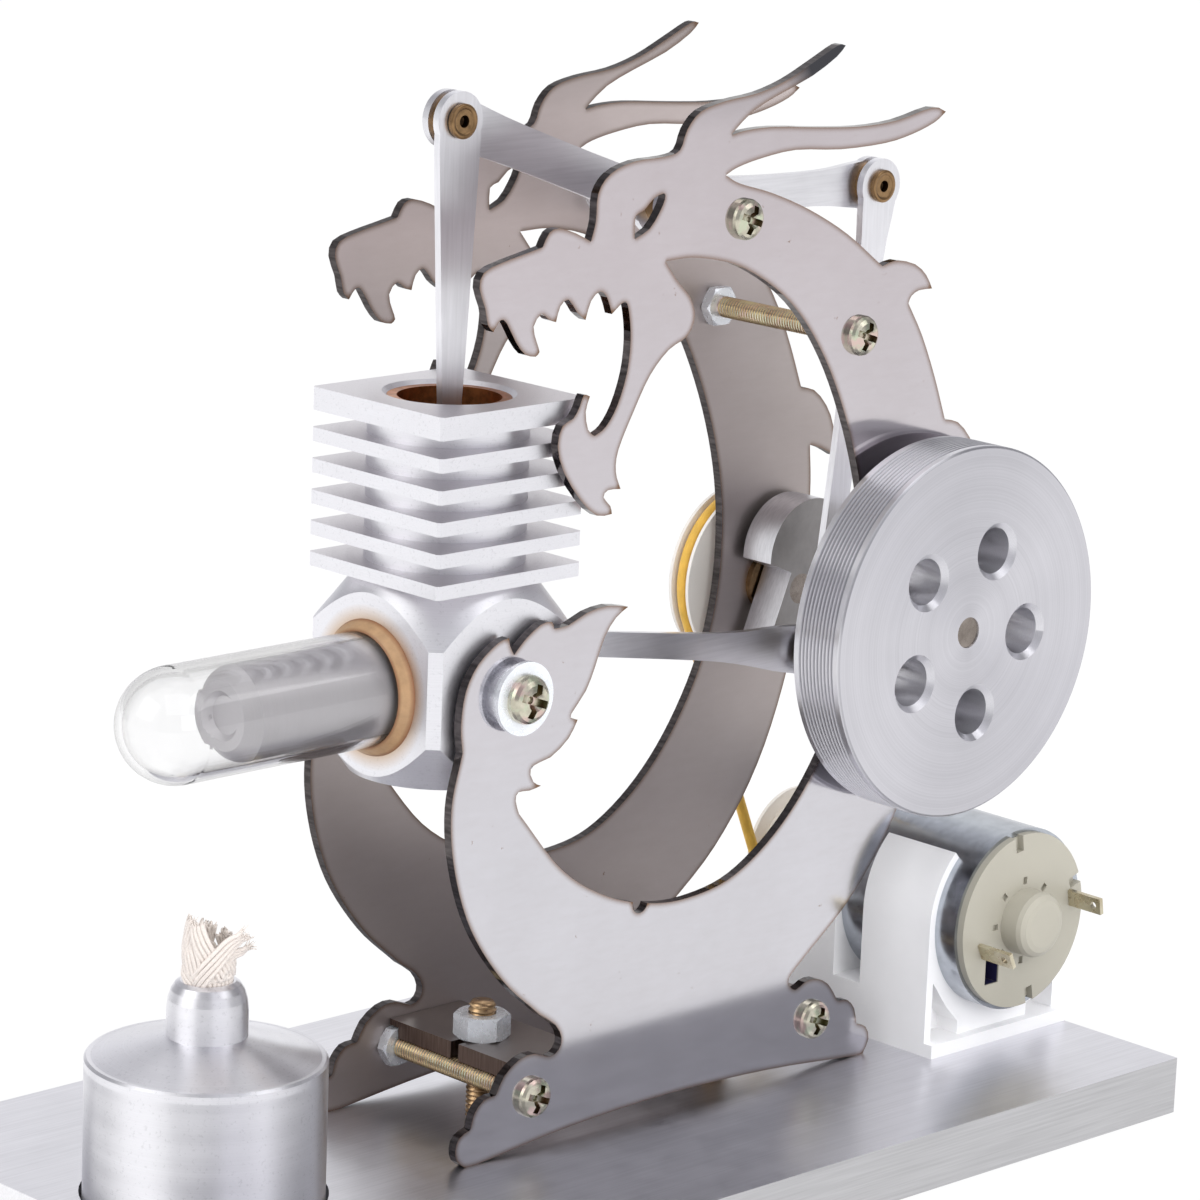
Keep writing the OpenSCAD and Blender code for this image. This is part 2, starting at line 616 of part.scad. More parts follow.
// Rods
module hole(p, d) {
    along_y(p[0], p[1], -rod_reach, rod_reach, d);
}
crank_eye_r = 3.2;
beam_rod_l = norm(right_pin - pin);
module beam_rod() {
    color("lightgray") up() difference() {
        lever(right_pin, pin, rod_r, crank_eye_r, [[1.2, 3.1], [4, 2.8], [10, 2.2], [30, rod_waist + 0.3],
            [beam_rod_l - 8, rod_waist + 0.3], [beam_rod_l - 3, 2.2], [beam_rod_l - 1, 2.5]], -rod_t / 2, rod_t / 2);
        hole(right_pin, rivet_d);
        hole(pin, eyelet_d);
    }
}
module beam_rod_bushes() {
    color("gold") up() {
        rivet(right_pin[0], right_pin[1], -rod_t / 2, rod_t / 2);
        ring_y(pin[0], pin[1], -rod_t / 2, rod_t / 2, eyelet_d, crank_pin_d + 2 * run);
    }
}
link_l = norm([lug_x, axis_h] - pin);
module displacer_link() {
    color("lightgray") up() difference() {
        lever(pin, [lug_x, axis_h], rod_r, rod_tip_r, [[1.2, 3.2], [6, 2.9], [12, 2.2], [20, rod_waist + 0.15],
            [link_l - 4, rod_waist], [link_l - 1, rod_waist]], layer[0], layer[1]);
        hole([lug_x, axis_h], rivet_d);
        hole(pin, eyelet_d);
    }
}
module displacer_link_bushes() {
    color("gold") up() {
        translate([lug_x, layer[0] + layer[1], axis_h]) rotate([180, 0, 0]) rivet(0, 0, layer[0], layer[1]);
        ring_y(pin[0], pin[1], layer[0], layer[1], eyelet_d, crank_pin_d + 2 * run);
    }
}
module rocker_beam() {
    color("lightgray") up() difference() {
        union() {
            lever(left_pin, [pivot_x, pivot_h], rod_r, hub_r, [[1.2, 3.2], [4, 3], [12, 2.65], [30, 2.7],
                [36, 3.2]], layer[0], layer[1]);
            lever(right_pin, [pivot_x, pivot_h], rod_r, hub_r, [[1.2, 3.1], [4, 2.8], [10, 2.25], [22, 2.3],
                [33, 2.9], [36.5, 3.3]], layer[0], layer[1]);
        }
        hole(left_pin, rivet_d);
        hole(right_pin, rivet_d);
        hole([pivot_x, pivot_h], hub_d);
    }
}
module rocker_bush() {
    color("gold") up() ring_y(pivot_x, pivot_h, bush_y[0], bush_y[1], hub_d, tie_d + 2 * run);
}
module rocker_rivets() {
    color("gold") up() {
        difference() {
            union() {
                along_y(left_pin[0], left_pin[1], -rod_t / 2 - rivet_gap - rivet_head, -rod_t / 2 - rivet_gap,
                    eyelet_d);
                along_y(left_pin[0], left_pin[1], -rod_t / 2 - rivet_gap - 0.01, layer[1] + 0.01, rivet_d);
                along_y(left_pin[0], left_pin[1], rod_t / 2 + rivet_gap, layer[0], shoulder_d);
                along_y(left_pin[0], left_pin[1], layer[1], layer[1] + rivet_head, eyelet_d);
            }
            along_y(left_pin[0], left_pin[1], -5, 0, 1.5);
        }
        along_y(right_pin[0], right_pin[1], layer[0] - 0.01, layer[1] + 0.01, rivet_d);
        along_y(right_pin[0], right_pin[1], layer[1], layer[1] + rivet_head, eyelet_d);
        along_y(right_pin[0], right_pin[1], rod_t / 2 + rivet_gap, layer[0], shoulder_d);
    }
}
power_rod_l = left_pin[1] - wrist_h;
module power_rod() {
    color("lightgray") up() difference() {
        lever(left_pin, [block_x, wrist_h], rod_r, rod_tip_r, [[1.2, 3.2], [4, 3.2], [15, 2.6], [28, 1.9],
            [power_rod_l - 5, 1.5], [power_rod_l - 1.2, 1.8]], -rod_t / 2, rod_t / 2);
        hole(left_pin, rivet_d + 2 * run);
        hole([block_x, wrist_h], wrist_d + 2 * wrist_play);
    }
}
wrist_d = 2;

// Power piston and displacer
module power_piston() {
    r = bore_d / 2 - run;
    color("dimgray") up() difference() {
        translate([block_x, 0, piston_low]) cylinder(r = r, h = piston_top - piston_low);
        translate([block_x, 0, piston_low + 1.4]) cylinder(r = r - 1.2, h = 20);
        along_y(block_x, wrist_h, -r - 1, r + 1, wrist_d);
    }
}
module wrist_pin() {
    color("silver") up() along_y(block_x, wrist_h, -bore_d / 2 + 0.4, bore_d / 2 - 0.4, wrist_d);
}
displacer_end = face_x - 14.45;
displacer_l = 31.8;
nose_cut = 1.6;
module displacer() {
    nose = displacer_end - displacer_l;
    color("gray") up() difference() {
        union() {
            along_x(axis_h, nose + nose_cut, displacer_end, displacer_d);
            translate([nose, 0, axis_h]) rotate([0, 90, 0])
                cylinder(d1 = displacer_d - 2 * nose_cut, d2 = displacer_d, h = nose_cut);
        }
        translate([nose - 0.01, 0, axis_h]) rotate([0, 90, 0]) cylinder(d1 = 6, d2 = 4.6, h = 0.7);
        along_x(axis_h, displacer_end - 8, displacer_end + 1, drod_d);
    }
}
module displacer_rod() {
    color("silver") up() difference() {
        union() {
            along_x(axis_h, displacer_end - 8, lug_x - 2.3, drod_d);
            along_y(lug_x, axis_h, -rod_t / 2, rod_t / 2, 2 * rod_tip_r);
        }
        along_y(lug_x, axis_h, -3, 3, rivet_d);
    }
}
module displacer_rivet() {
    color("gold") up() rivet(lug_x, axis_h, -rod_t / 2, rod_t / 2);
}

// Motor and bracket
module motor_can() {
    y0 = motor_y + cap_t;
    y1 = motor_y + motor_l;
    color("slategray") up() difference() {
        union() {
            along_y(motor_x, motor_h, y0, y1, motor_d);
            along_y(motor_x, motor_h, y1 - 0.01, y1 + 1.6, 7);
        }
        along_y(motor_x, motor_h, y0 - 1, y1 - can_wall, motor_d - 2 * can_wall);
        along_y(motor_x, motor_h, y1 - 3, y1 + 3, mshaft_d + 2 * run);
    }
}
module motor_cap() {
    color("wheat") up() difference() {
        union() {
            along_y(motor_x, motor_h, motor_y, motor_y + cap_t, motor_d - 1);
            along_y(motor_x, motor_h, motor_y + cap_t - 0.01, motor_y + cap_t + 2, motor_d - 2 * can_wall);
            translate([motor_x, motor_y + 0.01, motor_h]) rotate([90, 0, 0]) rotate_extrude()
                polygon([[0, 0], [4.35, 0], [4.35, boss_l - 1.2], [4.1, boss_l - 0.6], [3.5, boss_l - 0.15],
                    [2.8, boss_l], [0, boss_l]]);
        }
        along_y(motor_x, motor_h, motor_y - 1, motor_y + 9, mshaft_d + 2 * run);
        for (p = terminal_at) translate([motor_x + p[0], motor_y - 3, motor_h + p[1]]) rotate([0, p[2], 0])
            translate([-tab_w / 2, 0, -0.3]) cube([tab_w, 9, 0.6]);
        for (a = [98, 281, 20]) translate([motor_x, motor_y - 1, motor_h]) rotate([0, -a, 0])
            translate([motor_d / 2 - 2.6, 0, -0.7]) cube([4, 2, 1.4]);
        for (a = [0:45:315]) translate([motor_x, motor_y - 1, motor_h]) rotate([0, -a, 0])
            translate([4.9, 0, -0.4]) cube([1, 1.5, 0.8]);
        translate([motor_x - 6.9, motor_y - 1, motor_h - 7.6]) cube([2.6, 20, 3.4]);
    }
}
terminal_at = [[9.2, 1.5, 80], [-8, -2.7, -115]];
tab_w = 2.2;
tab_out = 5.5;
module motor_terminals() {
    color("khaki") up() for (p = terminal_at) translate([motor_x + p[0], motor_y - tab_out, motor_h + p[1]])
        rotate([0, p[2], 0]) difference() {
            translate([-tab_w / 2, 0, -0.3]) cube([tab_w, tab_out + cap_t + 2, 0.6]);
            translate([0, 1.2, -1]) cylinder(d = 1, h = 2);
        }
}
module motor_magnets() {
    y0 = motor_y + cap_t + 3;
    y1 = motor_y + motor_l - 4;
    color("dimgray") up() intersection() {
        ring_y(motor_x, motor_h, y0, y1, motor_d - 2 * can_wall, motor_d - 2 * can_wall - 4);
        for (x = [-20, 4]) translate([motor_x + x, y0 - 1, motor_h - 20]) cube([16, y1 - y0 + 2, 40]);
    }
}
module motor_armature() {
    y0 = motor_y + cap_t + 5;
    y1 = motor_y + motor_l - 6;
    color("chocolate") up() difference() {
        along_y(motor_x, motor_h, y0, y1, motor_d - 2 * can_wall - 5);
        along_y(motor_x, motor_h, y0 - 1, y1 + 1, mshaft_d);
        for (a = [30, 150, 270]) translate([motor_x, y0 - 1, motor_h]) rotate([0, -a, 0])
            translate([4.5, 0, -1]) cube([10, y1 - y0 + 2, 2]);
    }
}
module motor_shaft() {
    color("silver") up() along_y(motor_x, motor_h, motor_y + 0.5, pulley_y + pulley_w + 0.6, mshaft_d);
}
module motor_pulley() {
    color("white") up() translate([motor_x, pulley_y, motor_h]) rotate([-90, 0, 0]) rotate_extrude()
        pulley_profile(pinion_d, mshaft_d);
}
module clip_shape() {
    r = motor_d / 2;
    difference() {
        union() {
            translate([motor_x - r - clip_wall, 0]) square([2 * (r + clip_wall), motor_h]);
            translate([motor_x, motor_h]) circle(r + clip_wall);
        }
        translate([motor_x, motor_h]) circle(r);
        translate([motor_x, motor_h]) polygon([[0, -1], [-25, 29], [25, 29]]);
    }
}
module motor_bracket() {
    r = motor_d / 2;
    back_y = rear_clip + clip_l[1];
    arch = clip_front + arch_back;
    color("white") up() difference() {
        union() {
            xz(arch, clip_front + clip_l[0]) clip_shape();
            xz(rear_clip, back_y) clip_shape();
            translate([motor_x - r - clip_wall, arch, 0])
                cube([2 * (r + clip_wall), back_y - arch, slab_h]);
            translate([motor_x - r - clip_wall, clip_front, 0])
                cube([2 * (r + clip_wall), back_y - clip_front, ledge_h]);
        }
        along_y(motor_x, motor_h, clip_front - 1, back_y + 1, motor_d);
        for (s = [-1, 1]) translate([motor_x + s * (r - 1.4), 0, 0]) xz(clip_front - 1, clip_front + 5)
            polygon([[s * 1.2, 1.8], [s * 1.2, 9.8], [s * -1.6, 6], [s * -4, 3.6], [s * -4, 1.8]]);
        for (y = bracket_screw_y) translate([motor_x, y, -1]) cylinder(d = tie_d, h = 1 + bracket_thread);
    }
}
bracket_thread = 4;
module bracket_screws() {
    color("khaki") for (y = bracket_screw_y) translate([motor_x, y, 0]) {
        cylinder(d1 = 2 * tie_d, d2 = tie_d, h = tie_d / 2);
        cylinder(d = tie_d, h = base_t + bracket_thread);
    }
}
// Belt round both pulleys, as two loops of the same shape
belt_l = norm([motor_x - crank_x, motor_h - axis_h]);
belt_a = atan2(motor_h - axis_h, motor_x - crank_x);
belt_wrap = acos((big_r - small_r) / belt_l);
function belt_loop(grow) = concat(
    [for (i = [0:40]) let (a = belt_wrap + i * (360 - 2 * belt_wrap) / 40)
        (big_r + grow) * [cos(a), sin(a)]],
    [for (i = [0:28]) let (a = -belt_wrap + i * 2 * belt_wrap / 28)
        [belt_l, 0] + (small_r + grow) * [cos(a), sin(a)]]);
module drive_belt() {
    color("goldenrod") up() translate([crank_x, 0, axis_h]) rotate([0, -belt_a, 0])
        xz(belt_y - belt_d / 2, belt_y + belt_d / 2) difference() {
            polygon(belt_loop(belt_d / 2));
            polygon(belt_loop(-belt_d / 2));
        }
}

// Burner
lid_rise = 2.6;
neck_l = 6.7;
wick_out = 7;
wick_flare = 0.5;
module burner_cup() {
    r = burner_d / 2;
    color("silver") up() translate([burner_x, 0, 0]) rotate_extrude() polygon([[0, -pocket_depth],
        [r - 0.6, -pocket_depth], [r, 0.6 - pocket_depth], [r, burner_h - 1.2], [r - 1, burner_h - 1.2],
        [r - 1, 1.2 - pocket_depth], [0, 1.2 - pocket_depth]]);
}
module burner_lid() {
    r = burner_d / 2;
    n = neck_d / 2;
    top = burner_h + lid_rise + neck_l;
    color("silver") up() translate([burner_x, 0, 0]) rotate_extrude() polygon([[r - 1, burner_h - 4],
        [r - 1, burner_h - 1.2], [r, burner_h - 1.2], [r, burner_h - 0.3], [r - 0.3, burner_h],
        [r - 0.8, burner_h], [n, burner_h + lid_rise], [n, top - 3.6], [n * 0.97, top - 2.2],
        [n * 0.9, top - 1.1], [n * 0.8, top - 0.35], [n * 0.68, top], [wick_r, top],
        [wick_r, burner_h + lid_rise - 1], [r - 2, burner_h - 1], [r - 2, burner_h - 4]]);
}
wick_r = 3;
wick_low = 2;
module burner_wick() {
    top = burner_h + lid_rise + neck_l;
    color("antiquewhite") up() translate([burner_x, 0, 0]) rotate_extrude()
        polygon([[0, wick_low], [wick_r, wick_low], [wick_r, top + wick_out * 0.06],
            [wick_r + wick_flare * 0.5, top + wick_out * 0.3], [wick_r + wick_flare * 0.4, top + wick_out * 0.65],
            [wick_r + wick_flare, top + wick_out * 0.93], [wick_r - wick_flare * 0.4, top + wick_out],
            [0, top + wick_out * 0.9]]);
}

base_plate();
front_plate();
rear_plate();
cylinder_block();
cylinder_liner();
glass_tube();
tube_seal();
guide_bush();
block_screws();
block_washers();
lock_washers();
spacer_washers();
pivot_screw();
pivot_spacers();
tie_screws();
frame_nuts();
clamp_strips();
hold_down_studs();
hold_down_nuts();
front_bearing();
rear_bearing();
flywheel();
front_shaft();
rear_shaft();
front_web();
rear_web();
crank_pin();
drive_pulley();
beam_rod();
beam_rod_bushes();
displacer_link();
displacer_link_bushes();
rocker_beam();
rocker_bush();
rocker_rivets();
power_rod();
power_piston();
wrist_pin();
displacer();
displacer_rod();
displacer_rivet();
motor_can();
motor_cap();
motor_terminals();
motor_magnets();
motor_armature();
motor_shaft();
motor_pulley();
motor_bracket();
bracket_screws();
drive_belt();
burner_cup();
burner_lid();
burner_wick();
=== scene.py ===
import math
import random

import bmesh
import bpy
from mathutils import Matrix, Vector


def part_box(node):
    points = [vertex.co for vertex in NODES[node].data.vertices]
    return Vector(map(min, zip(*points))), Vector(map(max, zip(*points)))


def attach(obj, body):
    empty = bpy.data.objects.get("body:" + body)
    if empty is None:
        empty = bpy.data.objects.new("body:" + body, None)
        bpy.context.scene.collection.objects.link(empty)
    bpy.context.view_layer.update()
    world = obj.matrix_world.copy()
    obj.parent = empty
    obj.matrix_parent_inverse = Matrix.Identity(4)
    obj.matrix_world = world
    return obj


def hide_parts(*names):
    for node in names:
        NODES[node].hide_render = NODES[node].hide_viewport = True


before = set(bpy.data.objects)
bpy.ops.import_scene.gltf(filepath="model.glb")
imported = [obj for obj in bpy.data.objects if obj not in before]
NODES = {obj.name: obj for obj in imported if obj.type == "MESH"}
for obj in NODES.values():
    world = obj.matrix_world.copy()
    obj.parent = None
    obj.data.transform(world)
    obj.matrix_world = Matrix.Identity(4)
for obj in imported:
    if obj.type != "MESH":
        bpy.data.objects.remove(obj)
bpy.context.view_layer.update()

bl_info = {
    "name": "Dragon hot-air engine",
    "version": (1, 0, 0),
    "blender": (4, 5, 0),
    "location": "3D View > Sidebar > Engine",
    "description": "Finishes, belt, wick and studio for a hot-air engine with dragon-shaped plates",
    "category": "Object",
}

MM = 0.001

# Axes by number, and full tones for masks
X_AXIS, Y_AXIS, Z_AXIS = 0, 1, 2
WHITE = (1.0, 1.0, 1.0)
BLACK = (0.0, 0.0, 0.0)

# Level directions to the right in the picture and towards the camera
VIEW_RIGHT = Vector((0.714, -0.700, 0.0))
VIEW_NEAR = Vector((-0.700, -0.714, 0.0))

# Axes of crank, motor, burner and cylinder block
CRANK = Vector((0.0472, 0.0, 0.0654))
MOTOR = Vector((0.0612, 0.0, 0.0247))
BURNER = Vector((-0.0572, 0.0, 0.0))
BLOCK = Vector((-0.02175, 0.0, 0.0654))

# Flywheel: its radius and the depth of its rim grooves
WHEEL_RADIUS = 24.0 * MM
GROOVE_DEPTH = 0.25 * MM

# Belt: radii of its middle line on the two pulleys, and steps along arcs and straight runs
BELT_BIG, BELT_SMALL = 11.25 * MM, 7.95 * MM
BIG_STEPS, SMALL_STEPS, RUN_STEPS = 48, 32, 12

# Lengths in mm: eyelets as piece, body, node and place; their profile as radius and depth
EYELETS = (("left_eyelet", "rocker", "rocker_rivets", -21.75, 132.4),
           ("lug_eyelet", "displacer", "displacer_rivet", 1.85, 65.4),
           ("right_eyelet", "beam_rod", "beam_rod_bushes", 51.75, 119.1))
EYELET_PROFILE = ((2.1, 0.35), (2.1, 0.1), (2.02, -0.06), (1.88, -0.14), (1.7, -0.14), (1.5, -0.05), (1.25, 0.16),
                  (1.0, 0.36), (0.8, 0.6), (0.74, 1.0), (0.02, 1.02))
EYELET_REACH = 2.2 * MM

# Lengths in mm: places and pitches of studs and tie screws, and the runs of tie-screw thread as start and turns
STUD_PLACES = (-13.0, 28.7)
STUD_PITCH = 0.6
TIE_PLACES = ((35.15, 103.3), (-16.85, 14.3), (32.55, 14.3))
TIE_PITCH = 0.45
TIE_RUNS = ((-12.0, 50), (14.85, 1))

# Light tent as metal sees it: degrees from the camera's direction, and level
TENT = ((-180, 1.0), (-162, 0.7), (-142, 0.38), (-98, 0.32), (-86, 1.0), (-33, 1.0), (-25, 0.4), (14, 0.42),
        (25, 0.8), (62, 0.72), (78, 0.3), (112, 0.3), (130, 0.45), (160, 0.6), (180, 1.0))
TENT_BLUE = 1.05

# Lamps as name, place, size and share of the key lamp's power; hidden ones don't show in metal
LAMPS = (("overhead", (-0.25, -0.35, 0.75), 0.7, 1.0),
         ("right", (0.35, -0.55, 0.80), 0.5, 0.5),
         ("left", (-0.7, 0.20, 0.5), 0.5, 0.4),
         ("front", (-0.20, -0.90, 0.35), 0.5, 1.1))
HIDDEN_LAMPS = ("overhead", "front")
LAMP_TARGET = Vector((0.0, 0.0, 0.06))
FLOOR_GLOW = 0.92
FLOOR_DROP = 0.2 * MM

# Wick: seed and yarn sizes in mm
WICK_SEED = 7
YARN_RADIUS, YARN_END, YARN_PITCH = 0.29, 0.2, 0.55
CORE_RADIUS, CORE_TOP = 2.1, 2.4
FIBRES, FIBRE_RADII = 5, (0.1, 0.08, 0.03)


# Shader building
class Shader:
    """One material's node tree, with short calls for the nodes it needs."""

    def __init__(self, name):
        self.material = bpy.data.materials.new(name)
        self.material.use_nodes = True
        self.tree = self.material.node_tree
        self.surface = self.tree.nodes["Principled BSDF"]
        self.place = self.add("ShaderNodeTexCoord").outputs["Object"]

    def add(self, kind, **settings):
        node = self.tree.nodes.new(kind)
        for key, value in settings.items():
            setattr(node, key, value)
        return node

    def link(self, a, b):
        self.tree.links.new(a, b)

    def set(self, **values):
        for key, value in values.items():
            self.surface.inputs[key.replace("_", " ")].default_value = value
        return self

    def stretched(self, stretch, source=None):
        node = self.add("ShaderNodeMapping")
        node.inputs["Scale"].default_value = stretch
        self.link(source or self.place, node.inputs["Vector"])
        return node.outputs["Vector"]

    def noise(self, scale, detail=3.0, rough=0.5, source=None):
        node = self.add("ShaderNodeTexNoise")
        node.inputs["Scale"].default_value = scale
        node.inputs["Detail"].default_value = detail
        node.inputs["Roughness"].default_value = rough
        self.link(source or self.place, node.inputs["Vector"])
        return node.outputs["Fac"]

    def away(self, centre, axis):
        """Distance from an axis through centre."""
        keep = [0.0 if i == axis else 1.0 for i in range(3)]
        offset = self.add("ShaderNodeVectorMath", operation="SUBTRACT")
        offset.inputs[1].default_value = centre
        self.link(self.place, offset.inputs[0])
        flat = self.add("ShaderNodeVectorMath", operation="MULTIPLY")
        flat.inputs[1].default_value = keep
        self.link(offset.outputs["Vector"], flat.inputs[0])
        size = self.add("ShaderNodeVectorMath", operation="LENGTH")
        self.link(flat.outputs["Vector"], size.inputs[0])
        return size.outputs["Value"]

    def along(self, axis):
        """Place along X, Y or Z."""
        part = self.add("ShaderNodeSeparateXYZ")
        self.link(self.place, part.inputs["Vector"])
        return part.outputs[axis]

    def radius(self, centre, axis):
        """Distance from an axis and place along it, as a vector for ring patterns."""
        line = self.add("ShaderNodeCombineXYZ")
        self.link(self.away(centre, axis), line.inputs["X"])
        self.link(self.along("XYZ"[axis]), line.inputs["Y"])
        return line.outputs["Vector"]

    def grooved(self, axis, amount):
        """Stretches highlights across the tool marks that run round an axis."""
        turn = self.add("ShaderNodeTangent", direction_type="RADIAL", axis=axis)
        self.link(turn.outputs["Tangent"], self.surface.inputs["Tangent"])
        self.set(Anisotropic=amount, Anisotropic_Rotation=0.25)

    def rim(self, reach):
        """1 on open faces, falling to 0 within reach of a cut edge."""
        node = self.add("ShaderNodeAmbientOcclusion", inside=True, only_local=True, samples=8)
        node.inputs["Distance"].default_value = reach
        return node.outputs["AO"]

    def ramp(self, source, low, high, start=0.3, end=0.7, between=()):
        node = self.add("ShaderNodeValToRGB")
        node.color_ramp.elements[0].position = start
        node.color_ramp.elements[0].color = (*low, 1.0)
        node.color_ramp.elements[1].position = end
        node.color_ramp.elements[1].color = (*high, 1.0)
        for position, colour in between:
            node.color_ramp.elements.new(position).color = (*colour, 1.0)
        self.link(source, node.inputs["Fac"])
        return node.outputs["Color"]

    def span(self, source, low, high, start=0.0, end=1.0):
        node = self.add("ShaderNodeMapRange")
        node.inputs["From Min"].default_value = start
        node.inputs["From Max"].default_value = end
        node.inputs["To Min"].default_value = low
        node.inputs["To Max"].default_value = high
        self.link(source, node.inputs["Value"])
        return node.outputs["Result"]

    def mix(self, amount, a, b, blend="MIX"):
        node = self.add("ShaderNodeMix", data_type="RGBA", blend_type=blend)
        if isinstance(amount, float):
            node.inputs[0].default_value = amount
        else:
            self.link(amount, node.inputs[0])
        for value, socket in ((a, node.inputs[6]), (b, node.inputs[7])):
            if isinstance(value, tuple):
                socket.default_value = (*value, 1.0)
            else:
                self.link(value, socket)
        return node.outputs[2]

    def bump(self, source, strength, distance):
        node = self.add("ShaderNodeBump")
        node.inputs["Strength"].default_value = strength
        node.inputs["Distance"].default_value = distance
        self.link(source, node.inputs["Height"])
        old = self.surface.inputs["Normal"]
        if old.is_linked:
            self.link(old.links[0].from_socket, node.inputs["Normal"])
        self.link(node.outputs["Normal"], old)

    def colour(self, source):
        self.link(source, self.surface.inputs["Base Color"])

    def roughness(self, source):
        self.link(source, self.surface.inputs["Roughness"])

    def facing(self, axis):
        """How far the surface faces along one axis of the object, from 0 to 1."""
        normal = self.add("ShaderNodeNewGeometry").outputs["True Normal"]
        part = self.add("ShaderNodeSeparateXYZ")
        self.link(normal, part.inputs["Vector"])
        size = self.add("ShaderNodeMath", operation="ABSOLUTE")
        self.link(part.outputs[axis], size.inputs[0])
        return size.outputs["Value"]


def tone(colour, factor):
    """A lighter or darker shade of a colour."""
    return tuple(min(1.0, c * factor) for c in colour)


def milled_aluminium(name, colour, streak, rough=0.3, side=None):
    """Satin aluminium with tool marks along one direction; side is the tone of sawn ends, and the long sides get
    painted shade that makes them darker.
    """
    s = Shader(name).set(Metallic=1.0)
    lines = s.noise(3000.0, 2.0, 0.6, s.stretched(streak))
    cloud = s.noise(90.0, 4.0)
    face = s.mix(0.35, s.ramp(lines, tone(colour, 0.86), colour), s.ramp(cloud, tone(colour, 0.84), colour))
    if side:
        sawn = s.ramp(lines, tone(side, 0.9), side)
        # Painted shade: faces that look along Y, the long sides, take a darker copy of the sawn-end tone
        sawn = s.mix(s.ramp(s.facing("Y"), BLACK, WHITE, 0.4, 0.6), sawn,
                     s.ramp(lines, tone(side, 0.5), tone(side, 0.6)))
        face = s.mix(s.ramp(s.facing("Z"), WHITE, BLACK, 0.4, 0.6), face, sawn)
    s.colour(face)
    s.roughness(s.span(s.noise(260.0, 3.0), rough - 0.06, rough + 0.1))
    s.bump(lines, 0.10, 0.00003)
    return s.material


def turned_aluminium(name, colour, centre, axis, rough=0.28, stretch=0.0, specks=0.0, stain=None):
    """Aluminium faced on a lathe: rings of tool marks, specks, and a stain as place along X and colour; with a stain,
    faces that look along Z also get painted shade.
    """
    s = Shader(name).set(Metallic=1.0)
    rings = s.noise(7000.0, 2.0, 0.6, s.radius(centre, axis))
    bands = s.noise(500.0, 2.0, 0.5, s.radius(centre, axis))
    cloud = s.noise(120.0, 4.0)
    face = s.mix(0.4, s.ramp(rings, tone(colour, 0.89), colour), s.ramp(bands, tone(colour, 0.94), colour))
    face = s.mix(0.25, face, s.ramp(cloud, tone(colour, 0.88), colour))
    if specks:
        dirt = s.ramp(s.noise(2300.0, 4.0, 0.65), tone(WHITE, 1.0 - specks), WHITE, 0.34, 0.42)
        face = s.mix(1.0, face, dirt, "MULTIPLY")
        s.bump(s.noise(1400.0, 3.0, 0.7), specks, 0.00003)
    if stain:
        # Resin stain on the face round the hot tube
        halo = s.add("ShaderNodeMath", operation="MULTIPLY")
        s.link(s.span(s.away(centre, X_AXIS), 0.75, 0.0, 0.0080, 0.0101), halo.inputs[0])
        s.link(s.span(s.along("X"), 1.0, 0.0, stain[0] + 0.0002, stain[0] + 0.0006), halo.inputs[1])
        face = s.mix(halo.outputs["Value"], face, stain[1])
        # Painted shade: faces that look along Z, such as the top of the block, are darkened
        face = s.mix(1.0, face, s.ramp(s.facing("Z"), WHITE, (0.83, 0.81, 0.81), 0.6, 0.9), "MULTIPLY")
    s.colour(face)
    s.roughness(s.span(bands, rough - 0.05, rough + 0.1))
    s.bump(rings, 0.18, 0.00003)
    if stretch:
        s.grooved("XYZ"[axis], stretch)
    return s.material


def cut_plate(name, colour, top, edge, heat, tip=None, rough=0.08, rise=None):
    """Laser-cut sheet steel with heat-tinted edges; its tone changes to top above rise as painted reflection and shade,
    and a painted dark reflection darkens a horn's tip.
    """
    s = Shader(name).set(Metallic=1.0)
    # Painted reflection and shade: the tone runs with height from colour near the base to top higher up, then darkens
    # again at the very top
    height = s.span(s.along("Z"), 0.0, 1.0, 0.045, 0.14)
    stops = ((0.76, top), (0.9, tone(top, 0.97)))
    if rise:
        stops = ((rise, colour),) + stops
    body = s.ramp(height, colour, tone(top, 0.62), 0.0, 1.0, stops)
    body = s.mix(1.0, body, s.ramp(s.noise(55.0, 5.0, 0.6), (0.94, 0.935, 0.93), WHITE), "MULTIPLY")
    grain = s.ramp(s.noise(900.0, 3.0, 0.7, s.stretched((0.25, 1.0, 1.0))), (0.97, 0.965, 0.96), WHITE)
    body = s.mix(1.0, body, grain, "MULTIPLY")
    specks = s.ramp(s.noise(620.0, 4.0, 0.7), (0.62, 0.52, 0.44), WHITE, 0.25, 0.31)
    body = s.mix(1.0, body, specks, "MULTIPLY")
    body = s.mix(s.span(s.rim(0.0008), 0.0, 1.0, 0.4, 0.95), heat, body)
    if tip:
        # Painted reflection: the horn's tip turns near black, as if reflecting dark surroundings
        body = s.mix(s.span(s.away(tip, Y_AXIS), 1.0, 0.0, 0.006, 0.0105), body, (0.06, 0.06, 0.068))
    kerf = s.ramp(s.noise(2500.0, 2.0, 0.5, s.stretched((1.0, 0.15, 1.0))), tone(edge, 0.6), tone(edge, 1.5))
    flat = s.ramp(s.facing("Y"), BLACK, WHITE, 0.4, 0.6)
    s.colour(s.mix(flat, kerf, body))
    s.roughness(s.span(s.noise(150.0, 4.0), rough, rough + 0.07))
    s.bump(s.noise(1800.0, 3.0, 0.6), 0.05, 0.00004)
    return s.material


